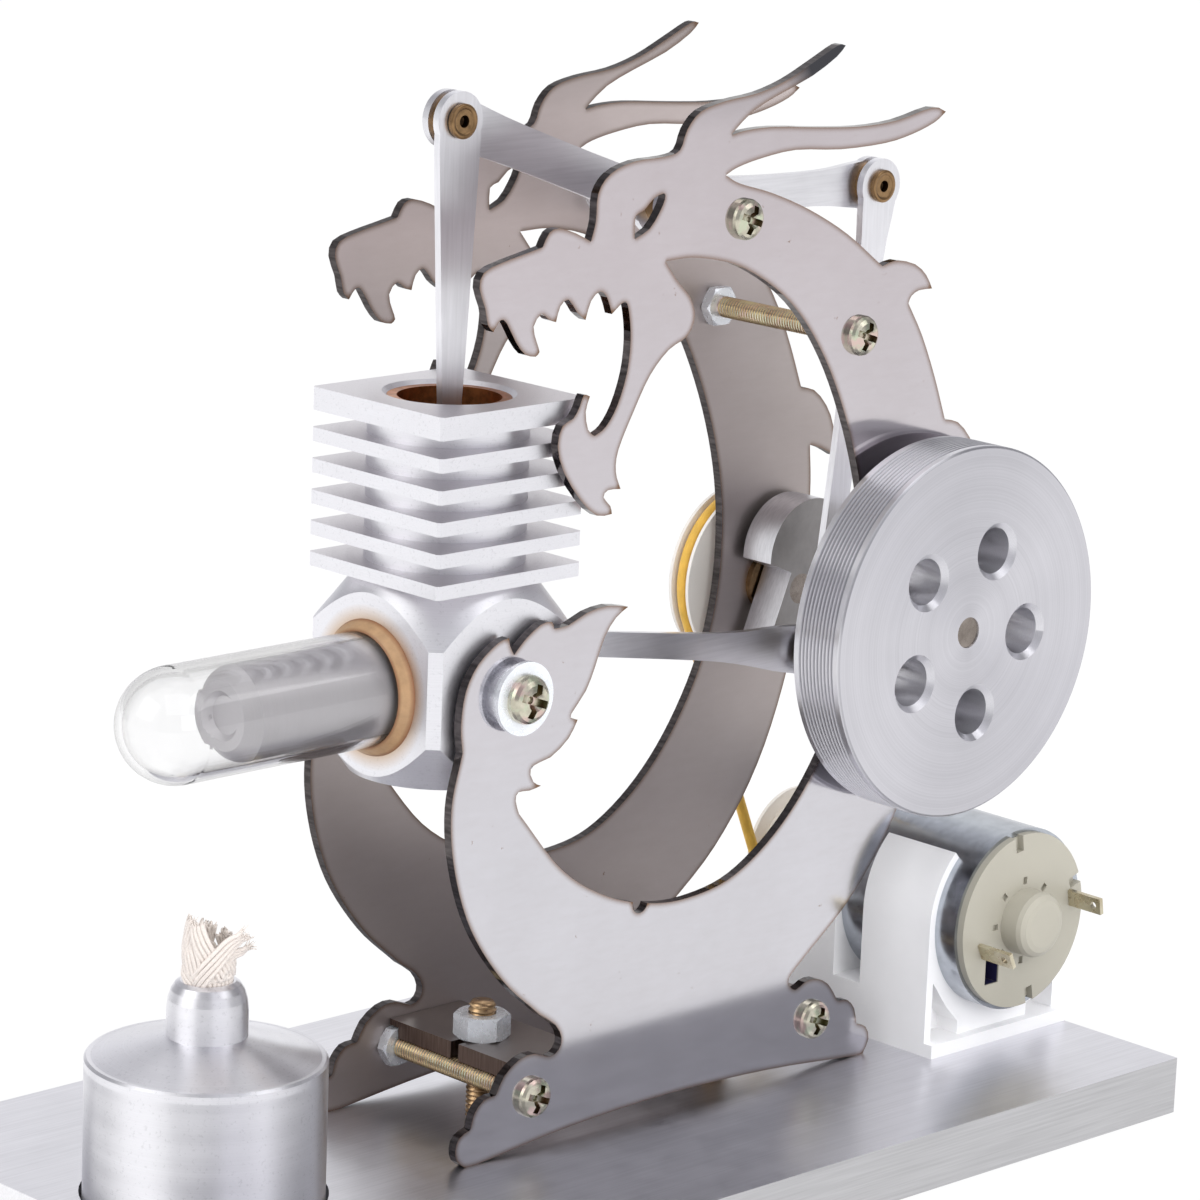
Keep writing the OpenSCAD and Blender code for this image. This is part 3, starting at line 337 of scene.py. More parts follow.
def strip_steel(name, colour, edge):
    """Satin strip, mid brown-grey, with striated brown edges."""
    s = Shader(name).set(Metallic=1.0)
    face = s.ramp(s.noise(160.0, 4.0, 0.6), tone(colour, 0.88), colour)
    lines = s.ramp(s.noise(3600.0, 2.0, 0.5, s.stretched((1.0, 1.0, 0.05))), tone(edge, 0.7), tone(edge, 1.25))
    flat = s.ramp(s.facing("Z"), BLACK, WHITE, 0.4, 0.6)
    s.colour(s.mix(flat, lines, face))
    s.roughness(s.span(s.noise(300.0, 3.0), 0.34, 0.46))
    s.bump(s.noise(1500.0, 2.0, 0.5, s.stretched((1.0, 1.0, 0.12))), 0.12, 0.00006)
    return s.material


def web_aluminium(name, colour, face):
    """Crank web: turned rim in the aluminium colour, and flat faces painted dark as shade."""
    s = Shader(name).set(Metallic=1.0)
    flat = s.ramp(s.facing("Y"), BLACK, WHITE, 0.5, 0.7)
    lines = s.noise(3500.0, 2.0, 0.6, s.stretched((0.2, 1.0, 0.2)))
    rim = s.ramp(lines, tone(colour, 0.84), colour)
    # Painted shade: faces that look along Y take the dark face colour
    s.colour(s.mix(flat, rim, s.ramp(s.noise(300.0, 4.0, 0.6), tone(face, 0.8), face)))
    s.roughness(s.span(s.noise(260.0, 3.0), 0.28, 0.42))
    s.bump(lines, 0.12, 0.00004)
    return s.material


def wheel_aluminium(name, colour, centre, radius, depth):
    """Turned flywheel whose flat faces are painted darker as shade, and whose rim grooves are painted grey as shade."""
    s = Shader(name).set(Metallic=1.0)
    rings = s.noise(7000.0, 2.0, 0.6, s.radius(centre, Y_AXIS))
    cloud = s.noise(120.0, 4.0)
    face = s.mix(0.3, s.ramp(rings, tone(colour, 0.86), colour), s.ramp(cloud, tone(colour, 0.86), colour))
    # Painted shade: faces that look along Y, the flat faces, are darkened
    face = s.mix(1.0, face, s.ramp(s.facing("Y"), WHITE, (0.80, 0.795, 0.81), 0.5, 0.9), "MULTIPLY")
    # Painted shade: a grey band in the rim grooves just inside the rim's radius
    away = s.span(s.away(centre, Y_AXIS), 0.0, 1.0, radius - 1.6 * depth, radius)
    grey = (0.72, 0.72, 0.73)
    s.colour(s.mix(1.0, face, s.ramp(away, WHITE, WHITE, 0.18, 0.92, ((0.28, grey), (0.55, grey))), "MULTIPLY"))
    s.roughness(s.span(s.noise(500.0, 2.0, 0.5, s.radius(centre, Y_AXIS)), 0.26, 0.40))
    s.bump(rings, 0.16, 0.00003)
    s.grooved("Y", 0.9)
    return s.material


def plated_steel(name, colour, tint, rough=0.25, bloom=None, metal=1.0):
    """Plated steel with a cloudy tint and a coloured bloom, and painted shade that darkens its recesses."""
    s = Shader(name).set(Metallic=metal)
    coat = s.ramp(s.noise(450.0, 3.0, 0.6), tint, colour, 0.35, 0.65)
    if bloom:
        coat = s.mix(s.ramp(s.noise(700.0, 2.0), BLACK, WHITE, 0.50, 0.62), coat, bloom[0])
        coat = s.mix(s.ramp(s.noise(520.0, 2.0), WHITE, BLACK, 0.38, 0.48), coat, bloom[1])
    s.bump(s.noise(2200.0, 3.0), 0.03, 0.00003)
    # Painted shade: occlusion darkens the colour in recesses such as the cross in a screw head
    hollow = s.add("ShaderNodeAmbientOcclusion", only_local=True, samples=8)
    hollow.inputs["Distance"].default_value = 0.0012
    s.colour(s.mix(1.0, coat, s.ramp(hollow.outputs["AO"], (0.34, 0.29, 0.21), WHITE, 0.3, 0.8), "MULTIPLY"))
    s.roughness(s.span(s.noise(900.0, 3.0), rough - 0.06, rough + 0.12))
    return s.material


def brass(name, colour):
    """Brass or bronze with dull patches."""
    s = Shader(name).set(Metallic=1.0)
    s.colour(s.ramp(s.noise(900.0, 4.0, 0.6), tone(colour, 0.55), colour, 0.3, 0.6))
    s.roughness(s.span(s.noise(1400.0, 3.0), 0.22, 0.42))
    s.bump(s.noise(3000.0, 2.0), 0.08, 0.00003)
    return s.material


def eyelet_bronze(name, colour, centre):
    """Bronze with painted shade that darkens it towards the hole of an eyelet."""
    s = Shader(name).set(Metallic=1.0)
    # Painted shade: near black at the middle, standing in for the depth of the hole
    inward = s.ramp(s.span(s.away(centre, Y_AXIS), 0.0, 1.0, 0.0006, 0.0019), (0.03, 0.018, 0.01), colour, 0.0, 0.9,
                    ((0.4, tone(colour, 0.42)),))
    s.colour(s.mix(1.0, inward, s.ramp(s.noise(1500.0, 3.0), (0.72, 0.70, 0.68), WHITE), "MULTIPLY"))
    s.roughness(s.span(s.noise(1200.0, 3.0), 0.22, 0.4))
    s.bump(s.noise(2600.0, 3.0), 0.06, 0.00003)
    return s.material


def moulded_plastic(name, colour, rough=0.42, grain=0.06, window=None):
    """Moulded plastic; window is the middle and the front of a slot whose insides are painted dark as shade."""
    s = Shader(name).set(Specular_IOR_Level=0.45)
    face = s.ramp(s.noise(140.0, 4.0), tone(colour, 0.95), colour)
    if window:
        # Painted shade: the walls inside the slot are painted near-black navy
        inside = s.add("ShaderNodeMath", operation="MULTIPLY")
        s.link(s.span(s.away(window, Y_AXIS), 1.0, 0.0, 0.0021, 0.0022), inside.inputs[0])
        s.link(s.span(s.along("Y"), 0.0, 1.0, window[1], window[1] + 0.0002), inside.inputs[1])
        face = s.mix(inside.outputs["Value"], face, (0.016, 0.014, 0.055))
    s.colour(face)
    s.roughness(s.span(s.noise(900.0, 3.0), rough - 0.08, rough + 0.08))
    s.bump(s.noise(2600.0, 3.0), grain, 0.00006)
    return s.material


def clear_glass(name):
    """Clear glass with painted shade: a little darker where it is seen edge on, in place of the dark refraction at its
    outline.
    """
    s = Shader(name).set(Transmission_Weight=1.0, IOR=1.47)
    s.roughness(s.span(s.noise(160.0, 3.0), 0.0, 0.03))
    # Painted shade: grazing angles darken the colour of the glass
    edge = s.add("ShaderNodeLayerWeight").outputs["Facing"]
    s.colour(s.ramp(edge, WHITE, (0.34, 0.32, 0.33), 0.5, 0.95))
    return s.material


def amber_sealant(name, colour, dark, axis=None):
    """Cured resin, burnt brown near the tube and darker brown at its outer edge when axis is given."""
    s = Shader(name).set(Specular_IOR_Level=0.5)
    shade = dark if axis is None else tone(colour, 0.8)
    cloud = s.ramp(s.noise(700.0, 4.0, 0.65), shade, colour, 0.3, 0.65)
    if axis is not None:
        # Darker brown rings near the tube and at the seal's outer edge
        away = s.span(s.away(axis, X_AXIS), 0.0, 1.0, 0.0069, 0.0084)
        burnt = s.ramp(away, WHITE, WHITE, 0.05, 0.95, ((0.3, BLACK), (0.7, BLACK)))
        cloud = s.mix(burnt, cloud, dark)
    s.colour(cloud)
    s.roughness(s.span(s.noise(500.0, 3.0), 0.22, 0.5))
    s.bump(s.noise(1500.0, 3.0), 0.3, 0.0002)
    return s.material


def cotton(name, colour):
    """Soft undyed cotton."""
    s = Shader(name).set(Roughness=0.9, Sheen_Weight=0.3)
    fibre = s.noise(5200.0, 4.0, 0.7)
    s.colour(s.ramp(fibre, tone(colour, 0.78), colour, 0.25, 0.6))
    s.bump(fibre, 0.5, 0.0002)
    return s.material


def rubber(name, colour):
    """Smooth rubber, or ferrite where the colour is dark."""
    s = Shader(name).set(Specular_IOR_Level=0.4)
    s.colour(s.ramp(s.noise(600.0, 3.0), tone(colour, 0.85), colour))
    s.roughness(s.span(s.noise(1500.0, 3.0), 0.4, 0.55))
    s.bump(s.noise(4000.0, 3.0), 0.1, 0.00005)
    return s.material


# Mesh helpers
def paint(material, *names):
    """Gives CAD nodes one finish."""
    for name in names:
        slots = NODES[name].data.materials
        slots.clear()
        slots.append(material)


def ease_edges(width, *names):
    """Breaks the sharp edges of CAD nodes so that they catch the light."""
    for name in names:
        bevel = NODES[name].modifiers.new("edge", "BEVEL")
        bevel.width = width
        bevel.segments = 2
        bevel.limit_method = "ANGLE"
        bevel.angle_limit = math.radians(40.0)
        bevel.harden_normals = True


def new_piece(name, mesh, material, body):
    """Puts a smooth new piece on a body, with its finish."""
    piece = bpy.data.objects.new(name, mesh)
    bpy.context.collection.objects.link(piece)
    mesh.materials.append(material)
    for face in mesh.polygons:
        face.use_smooth = True
    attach(piece, body)
    return piece


def tube(bm, path, radii, sides=10, closed=False):
    """Adds a round tube along a path of points to a mesh being built."""
    count = len(path)
    rings = []
    up = None
    for i, point in enumerate(path):
        ahead = path[(i + 1) % count] if closed else path[min(i + 1, count - 1)]
        behind = path[(i - 1) % count] if closed else path[max(i - 1, 0)]
        along = (ahead - behind).normalized()
        if up is None:
            up = along.orthogonal().normalized()
        up = (up - along * up.dot(along)).normalized()
        side = along.cross(up)
        radius = radii[i] if isinstance(radii, (list, tuple)) else radii
        rings.append([bm.verts.new(point + radius * (math.cos(t) * up + math.sin(t) * side))
                      for t in (2 * math.pi * k / sides for k in range(sides))])
    pairs = list(zip(rings, rings[1:]))
    if closed:
        last, first = rings[-1], rings[0]
        shift = min(range(sides), key=lambda k: (last[0].co - first[k].co).length)
        pairs.append((last, first[shift:] + first[:shift]))
    for a, b in pairs:
        for k in range(sides):
            bm.faces.new((a[k], a[(k + 1) % sides], b[(k + 1) % sides], b[k]))
    if not closed:
        bm.faces.new(rings[0][::-1])
        bm.faces.new(rings[-1])


def lathe(bm, centre, profile, sides=36, axis="Y", capped=False):
    """Adds a form turned about an axis along Y or Z, from pairs of radius and place on the axis."""
    rings = []
    for r, at in profile:
        turns = [(r * math.cos(t), r * math.sin(t)) for t in (2 * math.pi * k / sides for k in range(sides))]
        rings.append([bm.verts.new(centre + Vector((u, at, v) if axis == "Y" else (u, v, at))) for u, v in turns])
    for a, b in zip(rings, rings[1:]):
        for k in range(sides):
            bm.faces.new((a[k], a[(k + 1) % sides], b[(k + 1) % sides], b[k]))
    if capped:
        bm.faces.new(rings[0][::-1])
        bm.faces.new(rings[-1])


def mesh_from(bm, name):
    """Ends a mesh being built, with its faces turned outwards."""
    bmesh.ops.recalc_face_normals(bm, faces=bm.faces)
    mesh = bpy.data.meshes.new(name)
    bm.to_mesh(mesh)
    bm.free()
    return mesh


# Settings
def colour_prop(name, description, value):
    """A colour with its label and use."""
    return bpy.props.FloatVectorProperty(name=name, description=description, default=value, subtype="COLOR",
                                         size=3, min=0.0, max=1.0)


class EngineFinish(bpy.types.PropertyGroup):
    """Colours of the engine's finishes."""
    aluminium: colour_prop("Aluminium", "Satin aluminium of block, rods, flywheel and burner", (0.84, 0.835, 0.87))
    base: colour_prop("Base", "Brushed top of the base plate", (0.83, 0.825, 0.87))
    # Painted reflection: the front plate's tone near the base and its browner tone higher up stand in for what the
    # plate reflects
    plate: colour_prop("Front plate", "Face of the front dragon plate near the base", (0.67, 0.66, 0.70))
    plate_top_painted_reflection: colour_prop("Front plate, top", "Browner face of the front plate higher up", (0.60, 0.55, 0.575))
    # Painted shade and light: the rear plate's darker tone stands in for the shade between the two plates, and its
    # lighter top for where that shade ends
    rear_plate: colour_prop("Rear plate", "Darker face of the rear dragon plate", (0.60, 0.54, 0.525))
    rear_plate_top_painted_light: colour_prop("Rear plate, top", "Face of the rear plate higher up", (0.82, 0.73, 0.71))
    plate_heat: colour_prop("Heat line", "Brown line that cutting left along the edges", (0.22, 0.13, 0.08))
    plate_edge: colour_prop("Plate edge", "Heat-tinted cut edge of the plates", (0.085, 0.075, 0.075))
    zinc_yellow: colour_prop("Yellow zinc", "Plating of the screws", (0.76, 0.72, 0.58))
    zinc_clear: colour_prop("Clear zinc", "Plating of nuts and washers", (0.86, 0.885, 0.92))
    brass: colour_prop("Brass", "Bushes and rivets", (0.37, 0.23, 0.115))
    white: colour_prop("White plastic", "Motor bracket", (0.95, 0.945, 0.95))
    pulley: colour_prop("Pulleys", "Warm white plastic of the two pulleys", (0.85, 0.81, 0.75))
    cream: colour_prop("Cream plastic", "End cap of the motor", (0.385, 0.364, 0.302))
    can: colour_prop("Motor can", "Plated steel of the motor", (0.52, 0.55, 0.60))
    belt: colour_prop("Belt", "Amber drive belt", (0.84, 0.50, 0.08))
    wick: colour_prop("Wick", "Cotton wick", (0.75, 0.68, 0.624))


class EngineStage(bpy.types.PropertyGroup):
    """Camera and light of the studio."""
    focal: bpy.props.FloatProperty(name="Focal length", description="Lens on a 36 mm sensor", default=146.92, min=20.0)
    azimuth: bpy.props.FloatProperty(name="Azimuth", description="Viewing angle round the engine, degrees",
                                     default=-44.471)
    elevation: bpy.props.FloatProperty(name="Elevation", description="Viewing angle above the horizon, degrees",
                                       default=13.325)
    roll: bpy.props.FloatProperty(name="Roll", description="Tilt of the picture, degrees", default=2.224)
    camera_at: bpy.props.FloatVectorProperty(name="Camera", description="Place of the lens", subtype="TRANSLATION",
                                             unit="LENGTH", default=(-0.40915, -0.42149, 0.21078))
    fill: bpy.props.FloatProperty(name="Fill", description="Light from all round on plain surfaces",
                                  default=1.2, min=0.0)
    key: bpy.props.FloatProperty(name="Key", description="Power of the lamp overhead, which the others follow",
                                 default=2.0, min=0.0)


# Operators
class ENGINE_OT_stage(bpy.types.Operator):
    """Make the camera, the soft lights and the pale floor"""
    bl_idname = "engine.stage"
    bl_label = "Studio"

    def execute(self, context):
        stage = context.scene.engine_stage
        self.camera(context.scene, stage)
        self.world(context.scene, stage)
        self.lamps(stage)
        self.floor()
        context.scene.view_settings.view_transform = "Standard"
        return {"FINISHED"}

    def camera(self, scene, stage):
        a, e, r = (math.radians(v) for v in (stage.azimuth, stage.elevation, stage.roll))
        back = Vector((math.sin(a) * math.cos(e), -math.cos(a) * math.cos(e), math.sin(e)))
        right = Vector((math.cos(a), math.sin(a), 0.0))
        up = back.cross(right)
        right, up = right * math.cos(r) + up * math.sin(r), up * math.cos(r) - right * math.sin(r)
        data = bpy.data.cameras.new("photo_camera")
        data.sensor_width = 36.0
        data.sensor_fit = "HORIZONTAL"
        data.lens = stage.focal
        data.clip_start = 0.01
        camera = bpy.data.objects.new("photo_camera", data)
        scene.collection.objects.link(camera)
        camera.matrix_world = Matrix((right, up, back)).transposed().to_4x4()
        camera.location = stage.camera_at
        scene.camera = camera

    def world(self, scene, stage):
        world = bpy.data.worlds.new("studio")
        scene.world = world
        world.use_nodes = True
        tree = world.node_tree
        tree.nodes.clear()

        def add(kind, **settings):
            node = tree.nodes.new(kind)
            for key, value in settings.items():
                setattr(node, key, value)
            return node

        out = add("ShaderNodeOutputWorld")
        ray = add("ShaderNodeLightPath")
        seen = add("ShaderNodeBackground")
        seen.inputs["Strength"].default_value = 1.0
        fill = add("ShaderNodeBackground")
        fill.inputs["Color"].default_value = (0.96, 0.97, 1.0, 1.0)
        fill.inputs["Strength"].default_value = stage.fill
        tent = add("ShaderNodeBackground")
        tent.inputs["Strength"].default_value = 1.0
        # Walls of the light tent as metal sees them, by direction round the engine
        place = add("ShaderNodeTexCoord")
        turn = add("ShaderNodeMath", operation="ARCTAN2")
        for socket, direction in ((0, VIEW_RIGHT), (1, VIEW_NEAR)):
            part = add("ShaderNodeVectorMath", operation="DOT_PRODUCT")
            part.inputs[1].default_value = direction
            tree.links.new(place.outputs["Generated"], part.inputs[0])
            tree.links.new(part.outputs["Value"], turn.inputs[socket])
        share = add("ShaderNodeMapRange")
        share.inputs["From Min"].default_value = -math.pi
        share.inputs["From Max"].default_value = math.pi
        tree.links.new(turn.outputs["Value"], share.inputs["Value"])
        walls = add("ShaderNodeValToRGB")
        steps = walls.color_ramp.elements
        for k, (angle, level) in enumerate(TENT):
            at = (angle + 180) / 360
            step = steps[0] if k == 0 else steps[-1] if k == len(TENT) - 1 else steps.new(at)
            step.position = at
            step.color = (level, level, min(1.0, level * TENT_BLUE), 1.0)
        tree.links.new(share.outputs["Result"], walls.inputs["Fac"])
        tree.links.new(walls.outputs["Color"], tent.inputs["Color"])
        pick = add("ShaderNodeMath", operation="MAXIMUM")
        tree.links.new(ray.outputs["Is Camera Ray"], pick.inputs[0])
        tree.links.new(ray.outputs["Is Transmission Ray"], pick.inputs[1])
        glossy = add("ShaderNodeMixShader")
        tree.links.new(ray.outputs["Is Glossy Ray"], glossy.inputs["Fac"])
        tree.links.new(fill.outputs["Background"], glossy.inputs[1])
        tree.links.new(tent.outputs["Background"], glossy.inputs[2])
        mixed = add("ShaderNodeMixShader")
        tree.links.new(pick.outputs["Value"], mixed.inputs["Fac"])
        tree.links.new(glossy.outputs["Shader"], mixed.inputs[1])
        tree.links.new(seen.outputs["Background"], mixed.inputs[2])
        tree.links.new(mixed.outputs["Shader"], out.inputs["Surface"])

    def lamps(self, stage):
        for name, at, size, share in LAMPS:
            data = bpy.data.lights.new(name, "AREA")
            data.size = size
            data.energy = stage.key * share
            lamp = bpy.data.objects.new(name, data)
            bpy.context.collection.objects.link(lamp)
            lamp.location = at
            lamp.visible_glossy = name not in HIDDEN_LAMPS
            lamp.rotation_euler = (LAMP_TARGET - Vector(at)).to_track_quat("-Z", "Y").to_euler()

    def floor(self):
        bm = bmesh.new()
        bmesh.ops.create_grid(bm, x_segments=2, y_segments=2, size=4.0)
        mesh = mesh_from(bm, "floor")
        s = Shader("pale_floor")
        s.set(Roughness=0.9, Specular_IOR_Level=0.1)
        s.colour(s.ramp(s.noise(3.0), (0.93, 0.93, 0.94), (0.95, 0.95, 0.96)))
        ray = s.add("ShaderNodeLightPath")
        glow = s.add("ShaderNodeEmission")
        glow.inputs["Color"].default_value = (1.0, 1.0, 1.0, 1.0)
        glow.inputs["Strength"].default_value = 1.0
        mix = s.add("ShaderNodeMixShader")
        out = s.tree.nodes["Material Output"]
        seen = s.add("ShaderNodeMath", operation="MAXIMUM")
        s.link(ray.outputs["Is Camera Ray"], seen.inputs[0])
        s.link(ray.outputs["Is Glossy Ray"], seen.inputs[1])
        through = s.add("ShaderNodeMath", operation="MAXIMUM")
        s.link(seen.outputs["Value"], through.inputs[0])
        s.link(ray.outputs["Is Transmission Ray"], through.inputs[1])
        lit = s.add("ShaderNodeMath", operation="MULTIPLY")
        lit.inputs[1].default_value = FLOOR_GLOW
        s.link(through.outputs["Value"], lit.inputs[0])
        s.link(lit.outputs["Value"], mix.inputs["Fac"])
        s.link(s.surface.outputs["BSDF"], mix.inputs[1])
        s.link(glow.outputs["Emission"], mix.inputs[2])
        s.link(mix.outputs["Shader"], out.inputs["Surface"])
        floor = bpy.data.objects.new("floor", mesh)
        mesh.materials.append(s.material)
        bpy.context.collection.objects.link(floor)
        floor.location.z = -FLOOR_DROP


class ENGINE_OT_frame(bpy.types.Operator):
    """Finish the base and the two dragon plates"""
    bl_idname = "engine.frame"
    bl_label = "Base and plates"

    def execute(self, context):
        f = context.scene.engine_finish
        paint(milled_aluminium("base_brushed", tuple(f.base), (0.02, 1.0, 1.0), 0.30, (0.98, 0.975, 1.0)), "base_plate")
        # Highest point of the front plate, where its horn tip gets a painted dark reflection
        tip = max((v.co for v in NODES["front_plate"].data.vertices), key=lambda place: place.z)
        cut = tuple(f.plate_edge), tuple(f.plate_heat)
        paint(cut_plate("front_sheet_steel", tuple(f.plate), tuple(f.plate_top_painted_reflection), *cut, tip=tuple(tip)), "front_plate")
        # The rear plate's tones are painted shade and painted light
        paint(cut_plate("rear_sheet_steel", tuple(f.rear_plate), tuple(f.rear_plate_top_painted_light), *cut, rough=0.48, rise=0.6),
              "rear_plate")
        ease_edges(0.25 * MM, "base_plate")
        return {"FINISHED"}


class ENGINE_OT_cylinder(bpy.types.Operator):
    """Finish the finned block, its liner, the glass tube and what slides inside them"""
    bl_idname = "engine.cylinder"
    bl_label = "Cylinder and hot tube"

    def execute(self, context):
        f = context.scene.engine_finish
        paint(turned_aluminium("block_turned", tone(tuple(f.aluminium), 1.13), BLOCK, Z_AXIS, 0.36, 0.0, 0.1,
                               (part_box("cylinder_block")[0][0], (0.60, 0.38, 0.18))), "cylinder_block")
        ease_edges(0.12 * MM, "cylinder_block")
        paint(brass("liner_bronze", (0.56, 0.22, 0.08)), "cylinder_liner")
        paint(clear_glass("hot_tube_glass"), "glass_tube")
        paint(amber_sealant("tube_sealant", (0.40, 0.24, 0.12), (0.19, 0.072, 0.026), BLOCK), "tube_seal")
        paint(brass("guide_brass", tuple(f.brass)), "guide_bush")
        paint(turned_aluminium("piston_grey", (0.30, 0.29, 0.29), BLOCK, Z_AXIS, 0.35), "power_piston")
        paint(turned_aluminium("displacer_grey", (0.62, 0.60, 0.625), BLOCK, X_AXIS, 0.5), "displacer")
        paint(plated_steel("rod_steel", (0.62, 0.61, 0.60), (0.48, 0.46, 0.45)), "displacer_rod", "wrist_pin")
        return {"FINISHED"}


class ENGINE_OT_crank(bpy.types.Operator):
    """Finish the flywheel, the crank, its shafts and bearings"""
    bl_idname = "engine.crank"
    bl_label = "Crank and flywheel"

    def execute(self, context):
        f = context.scene.engine_finish
        paint(wheel_aluminium("wheel_turned", tone(tuple(f.aluminium), 1.08), CRANK, WHEEL_RADIUS, GROOVE_DEPTH),
              "flywheel")
        # The web's dark flat-face colour is painted shade
        paint(web_aluminium("web_turned", tuple(f.aluminium), (0.34, 0.325, 0.32)), "front_web", "rear_web")
        paint(plated_steel("shaft_steel", (0.32, 0.28, 0.25), (0.20, 0.17, 0.15)),
              "front_shaft", "rear_shaft", "crank_pin")
        paint(brass("bearing_brass", tuple(f.brass)), "front_bearing", "rear_bearing")
        ease_edges(0.15 * MM, "front_web", "rear_web")
        return {"FINISHED"}


class ENGINE_OT_rods(bpy.types.Operator):
    """Finish the rods, the rocking beam and their brass eyelets"""
    bl_idname = "engine.rods"
    bl_label = "Rods and beam"

    def execute(self, context):
        f = context.scene.engine_finish
        metal = tone(tuple(f.aluminium), 1.14)
        paint(milled_aluminium("rod_upright", metal, (1.0, 1.0, 0.04), 0.33), "power_rod", "beam_rod")
        paint(milled_aluminium("rod_level", tone(metal, 0.9), (0.04, 1.0, 1.0), 0.3), "displacer_link", "rocker_beam")
        ease_edges(0.15 * MM, "power_rod", "beam_rod", "displacer_link", "rocker_beam")
        paint(brass("eyelet_brass", tuple(f.brass)), "beam_rod_bushes", "displacer_link_bushes", "rocker_bush",
              "rocker_rivets", "displacer_rivet")
        for name, body, node, x, z in EYELETS:
            self.eyelet(name, body, node, Vector((x, 0.0, z)) * MM, tuple(f.brass))
        return {"FINISHED"}

    def eyelet(self, name, body, node, centre, colour):
        """Rolled rim and funnel on the front of a hollow rivet."""
        places = (v.co for v in NODES[node].data.vertices)
        centre.y = min(place.y for place in places
                       if abs(place.x - centre.x) < EYELET_REACH and abs(place.z - centre.z) < EYELET_REACH)
        bm = bmesh.new()
        lathe(bm, centre, [(r * MM, y * MM) for r, y in EYELET_PROFILE])
        new_piece(name, mesh_from(bm, name), eyelet_bronze(name + "_bronze", colour, centre), body)


class ENGINE_OT_fasteners(bpy.types.Operator):
    """Finish the screws, nuts, washers, studs and clamp strips"""
    bl_idname = "engine.fasteners"
    bl_label = "Fasteners"

    def execute(self, context):
        f = context.scene.engine_finish
        yellow = tuple(f.zinc_yellow)
        bloom = (0.62, 0.66, 0.50), (0.72, 0.56, 0.50)
        paint(plated_steel("screw_zinc", yellow, tone(yellow, 0.6), 0.2, bloom), "block_screws", "bracket_screws",
              "tie_screws", "pivot_screw")
        self.stud_threads(plated_steel("stud_zinc", (0.66, 0.45, 0.25), (0.46, 0.30, 0.17), 0.26))
        self.tie_threads(plated_steel("tie_zinc", (0.62, 0.50, 0.27), (0.50, 0.33, 0.20), 0.26))
        clear = tuple(f.zinc_clear)
        paint(plated_steel("nut_zinc", clear, tone(clear, 0.9), 0.24, metal=0.6),
              "frame_nuts", "hold_down_nuts", "block_washers", "lock_washers", "spacer_washers")
        ease_edges(0.15 * MM, "frame_nuts", "hold_down_nuts")
        paint(milled_aluminium("spacer_tube", tone(tuple(f.aluminium), 0.85), (1.0, 0.1, 1.0)), "pivot_spacers")
        paint(strip_steel("strip_steel", (0.33, 0.29, 0.275), (0.15, 0.105, 0.085)), "clamp_strips")
        return {"FINISHED"}

    def stud_threads(self, material):
        """Threaded studs with turned ends."""
        bm = bmesh.new()
        low, high = (v / MM for v in (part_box("hold_down_studs")[0][2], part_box("hold_down_studs")[1][2]))
        profile = [(1.3, low), (1.72, low + 0.4)]
        for k in range(int((high - low - 1.0) / STUD_PITCH)):
            z = low + 0.5 + STUD_PITCH * k
            profile += [(1.75, z), (1.75, z + 0.1), (1.42, z + 0.32), (1.42, z + 0.38)]
        profile += [(1.7, high - 0.5), (1.35, high)]
        for x in STUD_PLACES:
            lathe(bm, Vector((x * MM, 0.0, 0.0)), [(r * MM, z * MM) for r, z in profile], 28, "Z", True)
        piece = new_piece("threaded_studs", mesh_from(bm, "threaded_studs"), material, "frame")
        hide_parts("hold_down_studs")

    def tie_threads(self, material):
        """Thread turns on the three screws that tie the plates together."""
        bm = bmesh.new()
        for x, z in TIE_PLACES:
            for start, turns in TIE_RUNS:
                profile = [(1.2, start)]
                for k in range(turns):
                    y = start + TIE_PITCH * k
                    profile += [(1.24, y + 0.02), (1.37, y + 0.15), (1.37, y + 0.2), (1.24, y + 0.33)]
                profile.append((1.2, start + TIE_PITCH * turns))
                lathe(bm, Vector((x, 0.0, z)) * MM, [(r * MM, y * MM) for r, y in profile], 24, "Y", True)
        new_piece("tie_screw_threads", mesh_from(bm, "tie_screw_threads"), material, "frame")


class ENGINE_OT_motor(bpy.types.Operator):
    """Finish the motor, its bracket and the two pulleys"""
    bl_idname = "engine.motor"
    bl_label = "Motor and pulleys"

    def execute(self, context):
        f = context.scene.engine_finish
        can = tuple(f.can)
        paint(plated_steel("can_steel", can, tone(can, 0.8), 0.2), "motor_can")
        # Slot in the motor cap, whose insides get painted shade
        slot = (MOTOR.x - 5.6 * MM, -23.4 * MM, MOTOR.z - 5.9 * MM)
        paint(moulded_plastic("cap_cream", tuple(f.cream), 0.38, 0.06, slot), "motor_cap")
        paint(plated_steel("terminal_tin", (0.72, 0.68, 0.55), (0.55, 0.48, 0.34)), "motor_terminals")
        paint(moulded_plastic("bracket_white", tuple(f.white), 0.45), "motor_bracket")
        paint(moulded_plastic("pulley_cream", tuple(f.pulley), 0.4), "drive_pulley", "motor_pulley")
        paint(plated_steel("rotor_shaft", (0.55, 0.54, 0.53), (0.42, 0.41, 0.40)), "motor_shaft")
        paint(amber_sealant("armature_copper", (0.45, 0.20, 0.09), (0.22, 0.08, 0.04)), "motor_armature")
        paint(rubber("magnet_ferrite", (0.06, 0.06, 0.065)), "motor_magnets")
        ease_edges(0.4 * MM, "motor_bracket")
        return {"FINISHED"}


